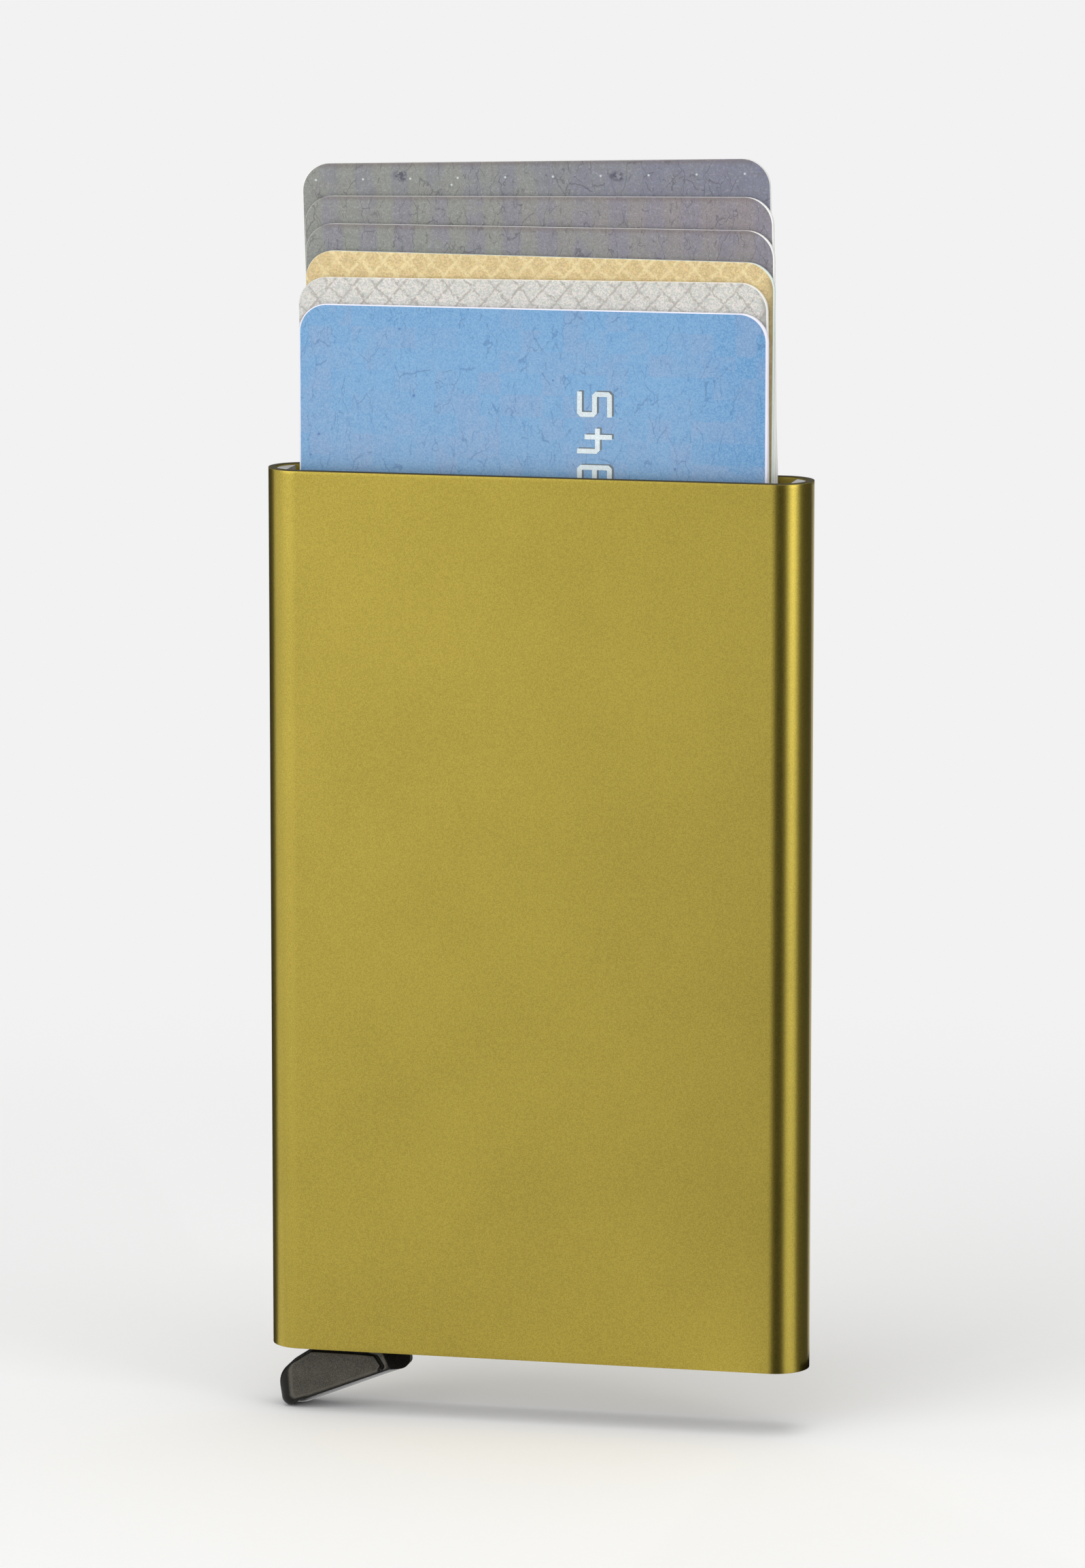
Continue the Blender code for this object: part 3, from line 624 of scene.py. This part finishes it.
def mottled_laminate(settings, index, centre, lean):
    """Dark print: soft upright bands, a hue that grows to the right, wrinkles and fine speckle.

    The noises of each card are taken a shift further along, so that no two cards show the same marks.
    """
    name = CARDS[index][0]
    hue, blotch, band_strength = DARK_PRINTS[index - 3]
    base = tuple(settings.dark)
    finish = Finish(f"{name}_print", coat_weight=0.2, coat_roughness=0.3)
    here = finish.millimetres(centre, lean)
    there = finish.millimetres((centre[0] - CARD_SHIFT * index, centre[1], centre[2]), lean)
    across, height = finish.axis(here, "X"), finish.axis(here, "Z")
    clouds = finish.noise(there, 4, detail=4, rough=0.6)
    bands = finish.step((across * (2 * math.pi / BAND_PITCH)).wave() + (clouds - 0.5) * 1.6, -0.4, 0.4)
    fine = finish.noise(there, 0.14, detail=3, rough=0.8)
    speckle = finish.step(finish.noise(there, 0.3, detail=4, rough=0.8), 0.5, 0.68)
    shadow = finish.step(finish.noise(there, 1.4, detail=4, rough=0.7), 0.5, 0.72)
    marks = hairlines(finish, there, 2.6, 0.04, 0.17).most(hairlines(finish, there, 1.3, 0.036, 0.12))
    top = finish.step(height + (clouds - 0.5) * 0.4, CARD_LENGTH / 2 - 0.7, CARD_LENGTH / 2 - 0.15)
    face = finish.layers(
        base,
        (finish.step(across + (clouds - 0.5) * 30, -14, 26) * 0.75, hue),
        (bands * finish.step(clouds, 0.3, 0.55) * band_strength, blotch),
        (finish.step(fine, 0.4, 0.6) * 0.66, tint(base, 0.6)),
        (speckle * 0.24, linear(196, 196, 198)),
        (shadow * 0.25, linear(92, 90, 102)),
        (marks * 0.46, linear(62, 60, 72)),
        (top * 0.4, linear(104, 88, 82)),
    )
    margins = 0.05, 0.16
    if index == len(CARDS) - 1:
        margins = 0.16, 0.02
        scuffs = finish.step(finish.noise(here, 0.6, detail=4, rough=0.8), 0.44, 0.56)
        for place_x, place_z in SCUFFS:
            beside, above = across - place_x, height - place_z
            away = (beside * beside * 0.4 + above * above) ** 0.5
            face = finish.mix(scuffs * (1 - finish.step(away, 0.3, 0.8)) * 0.8, face, linear(54, 54, 76))
        face = finish.mix(dot_row(finish, here) * 0.7, face, linear(220, 228, 230))
    colour = laminate_edge(finish, here, face, linear(244, 244, 240), *margins)
    return finish.show(colour, 0.4 + marks * 0.2 + (fine - 0.5) * 0.2, finish.bump(fine, 0.006))


def dot_row(finish, place):
    """A row of small round dots near the card's top, wrapped at each pitch along the row, and one odd dot."""
    across, height = finish.axis(place, "X"), finish.axis(place, "Z")
    along = across - DOT_START
    near = along - DOT_PITCH * (along / DOT_PITCH).floor() - DOT_SHIFT
    up = height - DOT_HEIGHT - across * DOT_TILT
    odd, low = across - ODD_DOT[0], height - ODD_DOT[1]
    distance = (near * near + up * up).least(odd * odd + low * low) ** 0.5
    return 1 - finish.step(distance, 0.07, 0.17)


def contact_plate(centre, lean):
    """Gold-plated contact plate: two columns of pads parted by thin grooves round a middle pad."""
    finish = Finish("chip_contact_plate", metallic=1.0)
    here = finish.millimetres(centre, lean)
    across, height = finish.axis(here, "X"), finish.axis(here, "Z")
    rows = (height + CHIP_SIZE[1] / 2) * (math.pi / (CHIP_SIZE[1] / 4))
    bars = 1 - finish.step(abs(rows.wave()), 0.04, 0.16)
    outside = finish.step(abs(across), CHIP_COLUMN, CHIP_COLUMN + 0.1)
    column = 1 - finish.step(abs(abs(across) - CHIP_COLUMN), 0.05, 0.12)
    groove = (bars * outside).most(column)
    dull = finish.noise(here, 0.3, detail=3)
    face = finish.mix(dull, (0.72, 0.5, 0.2), (0.85, 0.66, 0.34))
    colour = finish.mix(groove * 0.8, face, (0.1, 0.08, 0.05))
    return finish.show(colour, 0.25 + dull * 0.2 + groove * 0.3, finish.bump(1 - groove, 0.04))


# Pieces


def case_shell(settings):
    """The tube: its wall's section, a rectangle with softened corners, is carried round the stadium.

    A point of the section is d in from the outer face and z up, so on the path it lies at
    (middle + (radius - d) cos turn, (radius - d) sin turn, z).
    """
    soft = settings.rim_round / MM
    quarter = np.linspace(0, np.pi / 2, ROUND_POINTS)
    rise, run = soft * (1 - np.sin(quarter)), soft * (1 - np.cos(quarter))
    between = np.linspace(WALL_INNER, CASE_HEIGHT - WALL_INNER, WALL_RINGS)
    heights = np.concatenate(((WALL_END,), between, (CASE_HEIGHT - WALL_END,)))
    outer = np.stack((np.zeros_like(heights), heights), 1)
    top_out = np.stack((run, CASE_HEIGHT - rise), 1)
    top_in = np.stack((CASE_WALL - rise, CASE_HEIGHT - run), 1)
    inner = np.stack((np.full_like(heights, CASE_WALL), heights[::-1]), 1)
    low_in = np.stack((CASE_WALL - run, rise), 1)
    low_out = np.stack((rise, run), 1)
    depth, height = np.concatenate((outer, top_out, top_in, inner, low_in, low_out)).T[:, :, None]
    middle, turn = stadium_path()
    x = middle + (SIDE_RADIUS - depth) * np.cos(turn)
    y = (SIDE_RADIUS - depth) * np.sin(turn)
    rings = np.stack((x, y, np.broadcast_to(height, x.shape)), -1)
    return solid("case_shell", (rings, False))


def card_plate(index, centre):
    """A card: its outline is carried through the thickness, drawn in a little at both faces' edges.

    Where a chip is let in, the front face runs on to the pocket's outline, whose points match the card's one
    for one, and down to its floor. At the end it is turned by the lean and moved to its middle.
    """
    name, lean, has_chip = CARDS[index]
    half = CARD_THICKNESS / 2
    quarter = np.linspace(0, np.pi / 2, 4)
    inset = EDGE_SOFT * (1 - np.cos(quarter))
    depth = half - EDGE_SOFT * (1 - np.sin(quarter))
    frame = (EDGE_SOFT + FACE_FRAME,)
    insets = np.concatenate((frame, inset[::-1], inset, frame))
    depths = np.concatenate(((half,), depth[::-1], -depth, (-half,)))
    rings = [
        upright(rounded_rectangle(CARD_WIDTH - 2 * i, CARD_LENGTH - 2 * i, CARD_CORNER - i), y)
        for i, y in zip(insets, depths)
    ]
    if has_chip:
        sizes = [size + 2 * CHIP_GAP for size in CHIP_SIZE]
        pocket = rounded_rectangle(*sizes, CHIP_CORNER + CHIP_GAP) + CHIP_PLACE
        rings += [upright(pocket, -half), upright(pocket, CHIP_POCKET - half)]
    x, y, z = np.stack(rings).transpose(2, 0, 1)
    cos, sin = math.cos(math.radians(lean)), math.sin(math.radians(lean))
    leaned = np.stack((x * cos - z * sin, y, x * sin + z * cos), -1)
    return solid(f"{name}_laminate", (leaned + centre, True))


def along_outline(values, steps, sides):
    """A value at each point of a rounded polygon: its corner's own value, blended evenly along each side."""
    values = np.array(values)[:, None]
    share = np.linspace(0, 1, sides + 1)[1:-1]
    blended = values * (1 - share) + np.roll(values, -1, 0) * share
    return np.concatenate((np.repeat(values, steps + 1, 1), blended), 1).ravel()


def tab_grid(edge_round):
    """The thumb tab: rings from its back, round its side and over its rounded edge to the flat panel.

    On the front the rings blend from the outline to the panel's edge, point for point. The surface there
    falls back as a quarter of an ellipse, by slope * (1 - root of (1 - (1 - blend) squared)), and past the
    draft's start also evenly. To the right of the facet's start, which is tilted with the height, it falls
    with the facet's plane. Just outside the panel a groove dips by a cosine. The first rings lie closer
    together, and the others are even.
    """
    steps = TAB_ARC_STEPS, TAB_SIDE_STEPS
    outline, panel = (rounded_polygon(corners, *steps) for corners in (TAB_OUTLINE, TAB_PANEL))
    slope, draft, groove = (along_outline(values, *steps) for values in (TAB_SLOPE, TAB_DRAFT, TAB_GROOVE))
    middle = panel.mean(0)
    half = LEVER_DEPTH / 2
    quarter = np.linspace(0, np.pi / 2, ROUND_POINTS)
    inward = unit(middle - outline)
    rings = []
    for turn in quarter[::-1]:
        inset, depth = edge_round * (1 - math.cos(turn)), half - edge_round * (1 - math.sin(turn))
        rings.append(upright(outline + inward * inset, depth))
    close = (1 - np.cos(np.linspace(0, np.pi, 41))) / 2
    for blend in np.concatenate((close[:TAB_RINGS], np.linspace(close[TAB_RINGS], 1, TAB_RINGS))):
        flat = outline * (1 - blend) + panel * blend
        facet = (flat[:, 0] - FACET_START + (flat[:, 1] - TAB_PANEL[-1][1]) * FACET_TILT) * FACET_SLOPE
        away = (np.linalg.norm(flat - panel, axis=1) - GROOVE_PLACE) / GROOVE_HALF
        dip = groove * (1 + np.cos(np.pi * np.clip(away, -1, 1))) / 2
        round_off = slope * (1 - math.sqrt(1 - (1 - blend) ** 2))
        steep = draft * max(1 - blend - DRAFT_START, 0) / (1 - DRAFT_START)
        fall = np.maximum(round_off + steep, np.clip(facet, 0, FACET_DEPTH)) + dip
        rings.append(upright(flat, fall - half))
    for share in (0.02, 0.3):
        rings.append(upright(panel * (1 - share) + middle * share, -half))
    return np.stack(rings)


def hub_grid():
    """The hub: its section, with the bore and the spring's pocket, is carried round the pivot."""
    half = LEVER_DEPTH / 2
    flat, edge = HUB_RADIUS - HUB_SOFT, half - HUB_SOFT
    section = np.array((
        (HUB_BORE, -half), (flat, -half), (HUB_RADIUS, -edge), (HUB_RADIUS, edge), (flat, half),
        (HUB_BORE, half), (HUB_BORE, POCKET_DEPTH), (HUB_POCKET, POCKET_DEPTH), (HUB_POCKET, -POCKET_DEPTH),
        (HUB_BORE, -POCKET_DEPTH),
    ))
    turn = np.linspace(0, 2 * np.pi, HUB_STEPS + 1)[:-1]
    radius, depth = section.T[:, :, None]
    x = PIVOT[0] + radius * np.cos(turn)
    z = PIVOT[1] + radius * np.sin(turn)
    return np.stack((x, np.broadcast_to(depth, x.shape), z), -1)


def root_grid():
    """The root of the arms: a tapering block from the hub to where the arms begin."""
    corners = (
        (ROOT_REACH, ROOT_TOP, 0.1), (ROOT_BACK, ROOT_BACK_TOP, 0.3),
        (ROOT_BACK, ROOT_BACK_LOW, 0.3), (ROOT_REACH, ROOT_LOW, 0.1),
    )
    outline = rounded_polygon([(PIVOT[0] + x, PIVOT[1] + z, radius) for x, z, radius in corners], 4, 4)
    half = LEVER_DEPTH / 2
    inner = outline + ROOT_SOFT * unit(outline.mean(0) - outline)
    rings = (inner, half), (outline, half - ROOT_SOFT), (outline, ROOT_SOFT - half), (inner, -half)
    return np.stack([upright(ring, depth) for ring, depth in rings])


def cut_corners(points, closed, cut):
    """A line of points with each turn cut off, by two points a little before and after it."""
    before, after = unit(np.roll(points, 1, 0) - points), unit(np.roll(points, -1, 0) - points)
    pairs = np.stack((points + before * cut, points + after * cut), 1).reshape(-1, 2)
    return pairs if closed else np.concatenate((points[:1], pairs[2:-2], points[-1:]))


def stroke(points, closed, width, height):
    """A raised stroke: a thin rectangle carried along a line of points, mitred at its turns.

    At a point, the two sides lie along the mean of the neighbouring lines' normals, width / 2 over the
    cosine of half the turn away.
    """
    points = np.array(points, float)
    ahead = unit(np.roll(points, -1, 0) - points)
    behind = np.roll(ahead, 1, 0)
    if not closed:
        ahead[-1], behind[0] = behind[-1], ahead[0]
        points[0] -= ahead[0] * width / 2
        points[-1] += ahead[-1] * width / 2
    normals = np.stack((-ahead[:, 1], ahead[:, 0]), 1)
    mean = unit(normals + np.stack((-behind[:, 1], behind[:, 0]), 1))
    reach = mean * width / 2 / np.sum(mean * normals, 1, keepdims=True)
    sides = np.stack((points - reach, points + reach, points + reach, points - reach), 1)
    lift = np.broadcast_to(np.array((0, 0, height, height)), sides.shape[:2])
    return np.concatenate((sides, lift[..., None]), -1), not closed


def digit_row(name, settings, centre, shift=(0, 0), lift=0.0):
    """The row of digits, which reads upwards: across the digit is up the card, and its top points left."""
    text, tall = settings.digits, settings.digit_height / MM - DIGIT_STROKE
    front = centre[1] - CARD_THICKNESS / 2 - lift
    grids = []
    places = np.cumsum([DIGIT_GAP if mark == " " else DIGIT_PITCH for mark in text])
    for mark, place in zip(text, places - places[-1]):
        for number, (points, closed) in enumerate(DIGIT_STROKES[mark]):
            path = cut_corners(np.array(points) * (DIGIT_WIDTH, tall), closed, DIGIT_CUT)
            ribbon, capped = stroke(path, closed, DIGIT_STROKE, DIGIT_RISE - RISE_STEP * number)
            along = ROW_END + place + ribbon[..., 0] + shift[1]
            across = ROW_FOOT - ribbon[..., 1] + shift[0]
            grids.append((np.stack((across, front - ribbon[..., 2], along), -1), capped))
    return solid(name, *grids)


# Stage


def world_light():
    """The world: a plain level for light, and the pale background for the camera, gloss and glass."""
    world = bpy.data.worlds.new("studio")
    bpy.context.scene.world = world
    nodes = Nodes(world)
    background = nodes.tree.nodes["Background"]
    level = nodes.node("ShaderNodeMix", {}, {0: nodes.seen(), 2: WORLD_LEVEL, 3: PALE})
    nodes.feed(background.inputs["Strength"], level)
    nodes.feed(background.inputs["Color"], (1, 1, 1))


def floor_finish(settings):
    """The floor: plain near the object, where it takes the shadow, and the pale background further out."""
    finish = Finish("floor", roughness=0.9, specular_ior_level=0.1)
    here = finish.millimetres()
    away = (finish.axis(here, "X") ** 2 + finish.axis(here, "Y") ** 2) ** 0.5
    fine = finish.noise(here, 0.8)
    base = tuple(settings.floor_colour)
    finish.show(finish.mix(fine, base, tint(base, 0.985)))
    glow = finish.node("ShaderNodeEmission", {}, {"Color": (PALE,) * 3, "Strength": 1.0})
    plain = Value(finish, finish.shader.outputs[0])
    share = finish.step(away, *FLOOR_FADE) * finish.seen()
    mixed = finish.node("ShaderNodeMixShader", {}, {0: share, 1: plain, 2: glow})
    finish.feed(finish.tree.nodes["Material Output"].inputs["Surface"], mixed)
    return finish.material


def faced(made, azimuth, elevation):
    """Turns a lamp or a camera to look at the case. Azimuth 0 is the front, and it grows to the right."""
    made.rotation_euler = (math.pi / 2 - math.radians(elevation), 0, math.radians(azimuth))
    return made


def lamp(name, azimuth, elevation, distance, width, height, power, in_gloss=True):
    """A soft box that faces the case's middle, with its sizes in metres."""
    light = bpy.data.lights.new(name, "AREA")
    light.shape = "RECTANGLE"
    light.size, light.size_y = width, height
    light.energy = power
    made = faced(placed(name, light), azimuth, elevation)
    made.visible_camera, made.visible_glossy = False, in_gloss
    a, e = math.radians(azimuth), math.radians(elevation)
    out, rise = distance * math.cos(e), distance * math.sin(e)
    made.location = (out * math.sin(a), -out * math.cos(a), LAMP_TARGET + rise)


def board(name, middle, start, end, height=0.35, inner=0.006, outer=0.9, shade=0.015, glow=0.0):
    """A board that only the object's gloss shows: a sector of the floor, and a wall at its far end.

    From a middle on the floor, a point is (x + radius sin azimuth, y - radius cos azimuth, z). The radius
    goes from inner to outer along the floor, and z goes on to the height at the outer radius, in metres.
    """
    low = CAD_BOX[0][2] + BOARD_RISE
    azimuth = np.radians(np.linspace(start, end, BOARD_POINTS))
    radius = np.array((inner, outer, outer))[:, None]
    rise = np.broadcast_to(np.array((low, low, height))[:, None], (3, azimuth.size))
    x, y = middle[0] * MM + radius * np.sin(azimuth), middle[1] * MM - radius * np.cos(azimuth)
    points = np.stack((x, y, rise), -1)
    index = np.arange(points[..., 0].size).reshape(rise.shape)
    quads = np.stack((index[:-1, :-1], index[:-1, 1:], index[1:, 1:], index[1:, :-1]), -1).reshape(-1, 4)
    mesh = bpy.data.meshes.new(name)
    mesh.from_pydata(points.reshape(-1, 3).tolist(), [], quads.tolist())
    made = placed(name, mesh)
    made.visible_camera = made.visible_diffuse = made.visible_shadow = False
    finish = Finish(name, roughness=1.0, specular_ior_level=0.0, emission_strength=glow)
    cloth = finish.noise(finish.millimetres(), 3)
    made.data.materials.append(finish.show(finish.mix(cloth, (shade * 0.8,) * 3, (shade * 1.2,) * 3)))


# Settings. The colours are in linear light

COLOUR = {"subtype": "COLOR", "size": 3, "min": 0, "max": 1}


class CaseSettings(bpy.types.PropertyGroup):
    colour: FloatVectorProperty(
        name="Case colour", description="Colour of the anodised tube",
        default=(0.5, 0.392, 0.074), **COLOUR,
    )
    roughness: FloatProperty(
        name="Case roughness", description="How matt the anodised tube is", subtype="FACTOR", min=0, max=1,
        default=0.3,
    )
    rim_round: FloatProperty(
        name="Rim rounding", description="Radius of the tube's softened edges", unit="LENGTH", min=0.00002,
        max=0.00035, default=0.00004,
    )


class LeverSettings(bpy.types.PropertyGroup):
    colour: FloatVectorProperty(
        name="Lever colour", description="Colour of the lever and the base",
        default=(0.066, 0.061, 0.05), **COLOUR,
    )
    edge_round: FloatProperty(
        name="Tab edge rounding", description="Radius of the thumb tab's back edges", unit="LENGTH",
        min=0.0001, max=0.0008, default=0.0004,
    )


class CardSettings(bpy.types.PropertyGroup):
    blue: FloatVectorProperty(
        name="Front card", description="Colour of the front card",
        default=linear(102, 154, 200), **COLOUR,
    )
    silver: FloatVectorProperty(
        name="Second card", description="Colour of the glittering silver card",
        default=linear(190, 191, 184), **COLOUR,
    )
    gold: FloatVectorProperty(
        name="Third card", description="Colour of the glittering gold card",
        default=linear(198, 173, 118), **COLOUR,
    )
    dark: FloatVectorProperty(
        name="Rear cards", description="Colour of the three dark cards",
        default=linear(142, 144, 138), **COLOUR,
    )
    digits: StringProperty(
        name="Digits", description="Plain digits on the front card", default="0123 4567 8901 2345"
    )
    digit_height: FloatProperty(
        name="Digit height", description="Height of the digits", unit="LENGTH", min=0.002, max=0.006,
        default=0.004,
    )


class StageSettings(bpy.types.PropertyGroup):
    floor_colour: FloatVectorProperty(
        name="Floor colour", description="Colour of the floor near the object",
        default=(0.88, 0.88, 0.88), **COLOUR,
    )
    key_power: FloatProperty(
        name="Key light", description="Power of the large soft box at the front left", unit="POWER", min=0,
        default=5.4,
    )
    top_power: FloatProperty(
        name="Top light", description="Power of the large soft box overhead", unit="POWER", min=0, default=6.8
    )


# Operators


class CARDHOLDER_OT_case(bpy.types.Operator):
    """Makes the anodised tube and finishes its liners and pile strips"""

    bl_idname = "card_holder.case"
    bl_label = "Case"

    def execute(self, context):
        settings = context.scene.card_holder_case
        shell = wear(case_shell(settings), anodised(settings))
        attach(shell, "case")
        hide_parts("case_tube")
        liner = moulded("grey_liner", (0.5, 0.5, 0.49), 0.5, grain_size=0.1, grain_depth=0.004)
        cloth = pile()
        for side in ("left", "right"):
            wear(f"edge_liner_{side}", liner)
            wear(f"pile_strip_{side}", cloth)
        return {"FINISHED"}


class CARDHOLDER_OT_base(bpy.types.Operator):
    """Finishes the base insert, the pivot pin and the return spring"""

    bl_idname = "card_holder.base"
    bl_label = "Base, pin and spring"

    def execute(self, context):
        black = moulded("base_plastic", tint(context.scene.card_holder_lever.colour, 0.5), 0.5)
        wear("base_insert", black)
        steel = drawn_steel()
        wear("pivot_pin", steel)
        wear("return_spring", steel)
        return {"FINISHED"}


class CARDHOLDER_OT_lever(bpy.types.Operator):
    """Makes the thumb lever and finishes its arms"""

    bl_idname = "card_holder.lever"
    bl_label = "Thumb lever"

    def execute(self, context):
        settings = context.scene.card_holder_lever
        plastic = lever_moulding(tuple(settings.colour))
        tab = tab_grid(settings.edge_round / MM)
        lever = wear(solid("thumb_lever", (tab, True), (hub_grid(), False), (root_grid(), True)), plastic)
        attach(lever, "lever")
        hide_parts("ejector_lever")
        for number in range(1, len(CARDS) + 1):
            wear(f"lever_arm_{number}", plastic)
        return {"FINISHED"}


class CARDHOLDER_OT_cards(bpy.types.Operator):
    """Makes the six cards and finishes their chips"""

    bl_idname = "card_holder.cards"
    bl_label = "Cards"

    def execute(self, context):
        settings = context.scene.card_holder_cards
        laminates = blue_laminate, glitter_laminate, glitter_laminate, *(mottled_laminate,) * len(DARK_PRINTS)
        for index, (name, lean, has_chip) in enumerate(CARDS):
            centre = middle_of(name)
            card = wear(card_plate(index, centre), laminates[index](settings, index, centre, lean))
            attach(card, f"card_{index + 1}")
            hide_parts(name)
            if has_chip:
                chip = name.replace("card", "chip")
                wear(chip, contact_plate(middle_of(chip), lean))
        return {"FINISHED"}


class CARDHOLDER_OT_digits(bpy.types.Operator):
    """Prints the plain digits on the front card"""

    bl_idname = "card_holder.digits"
    bl_label = "Digits"

    def execute(self, context):
        settings = context.scene.card_holder_cards
        centre = middle_of(CARDS[0][0])
        ink = moulded("white_ink", linear(228, 240, 244), 0.45, grain_size=0.08, grain_depth=0.003)
        shade = moulded("grey_ink", linear(112, 124, 132), 0.5, grain_size=0.08, grain_depth=0.003)
        front = digit_row("digit_print", settings, centre, lift=DIGIT_RISE)
        under = digit_row("digit_shadow_print", settings, centre, shift=SHADOW_SHIFT)
        for piece, material in ((front, ink), (under, shade)):
            wear(piece, material)
            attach(piece, "card_1")
        return {"FINISHED"}


class CARDHOLDER_OT_stage(bpy.types.Operator):
    """Sets the floor, the lamps and the camera"""

    bl_idname = "card_holder.stage"
    bl_label = "Stage"

    def execute(self, context):
        settings = context.scene.card_holder_stage
        scene = context.scene
        scene.view_settings.view_transform = "Standard"
        low = CAD_BOX[0][2] - FLOOR_DROP
        corners = [(x * FLOOR_HALF, y * FLOOR_HALF, low) for x, y in ((-1, -1), (1, -1), (1, 1), (-1, 1))]
        mesh = bpy.data.meshes.new("studio_floor")
        mesh.from_pydata(corners, [], [(0, 1, 2, 3)])
        ground = wear(placed("studio_floor", mesh), floor_finish(settings))
        world_light()
        lamp("key_light", -38, 25, 1.1, 0.9, 0.9, settings.key_power)
        lamp("top_light", 30, 82, 1.2, 1.0, 1.0, settings.top_power, in_gloss=False)
        lamp("strip_light", 60, 2, 0.7, 0.24, 0.9, 1.5)
        board("front_board", (HALF_FLAT, 0), -3, 40)
        lamp("side_light", 95, 12, 0.8, 0.5, 0.9, 1.2, in_gloss=False)
        board("right_board", (HALF_FLAT, 0), 80, 152, shade=0.1)
        board("left_board", (-HALF_FLAT, 0), -156, -100, shade=0.05)
        board("tab_board", (FACET_START, 0), 88, 128, height=0.0005, inner=0.045, outer=0.05)
        board("low_board", (15, 0), -80, 0, height=0.001, inner=0.012, outer=0.22, shade=0.72)
        board("tab_glow", TAB_MIDDLE, 171, 189, height=-0.007, inner=0.0395, outer=0.05, shade=0.5, glow=0.9)
        board("shade_board", TAB_MIDDLE, 168, 204, height=0.001, inner=0.055, outer=0.11)
        board("back_board", (0, 0), 154, 204, inner=0.9, height=0.45)
        camera = bpy.data.cameras.new("camera")
        camera.lens, camera.sensor_width = CAMERA_LENS, SENSOR_WIDTH
        eye = faced(placed("camera", camera), CAMERA_AZIMUTH, CAMERA_ELEVATION)
        eye.location = CAMERA_PLACE
        scene.camera = eye
        return {"FINISHED"}


class CARDHOLDER_PT_panel(bpy.types.Panel):
    """Lists the card holder's pieces and their settings"""

    bl_idname = "CARDHOLDER_PT_panel"
    bl_label = "Card holder"
    bl_space_type = "VIEW_3D"
    bl_region_type = "UI"
    bl_category = "Card Holder"

    def draw(self, context):
        layout, scene = self.layout, context.scene
        groups = (
            (scene.card_holder_case, ("colour", "roughness", "rim_round"), CARDHOLDER_OT_case),
            (scene.card_holder_lever, ("colour", "edge_round"), CARDHOLDER_OT_lever),
            (scene.card_holder_lever, (), CARDHOLDER_OT_base),
            (scene.card_holder_cards, ("blue", "silver", "gold", "dark"), CARDHOLDER_OT_cards),
            (scene.card_holder_cards, ("digits", "digit_height"), CARDHOLDER_OT_digits),
            (scene.card_holder_stage, ("floor_colour", "key_power", "top_power"), CARDHOLDER_OT_stage),
        )
        for settings, names, operator in groups:
            box = layout.box()
            for name in names:
                box.prop(settings, name)
            box.operator(operator.bl_idname)


GROUPS = {"case": CaseSettings, "lever": LeverSettings, "cards": CardSettings, "stage": StageSettings}
CLASSES = (
    *GROUPS.values(),
    CARDHOLDER_OT_case,
    CARDHOLDER_OT_base,
    CARDHOLDER_OT_lever,
    CARDHOLDER_OT_cards,
    CARDHOLDER_OT_digits,
    CARDHOLDER_OT_stage,
    CARDHOLDER_PT_panel,
)


def register():
    for made in CLASSES:
        bpy.utils.register_class(made)
    for name, group in GROUPS.items():
        setattr(bpy.types.Scene, f"card_holder_{name}", PointerProperty(type=group))


def unregister():
    for name in GROUPS:
        delattr(bpy.types.Scene, f"card_holder_{name}")
    for made in reversed(CLASSES):
        bpy.utils.unregister_class(made)


def main():
    register()
    bpy.ops.card_holder.case()
    bpy.ops.card_holder.base()
    bpy.ops.card_holder.lever()
    bpy.ops.card_holder.cards()
    bpy.ops.card_holder.digits()
    bpy.ops.card_holder.stage()


if __name__ == "__main__":
    main()
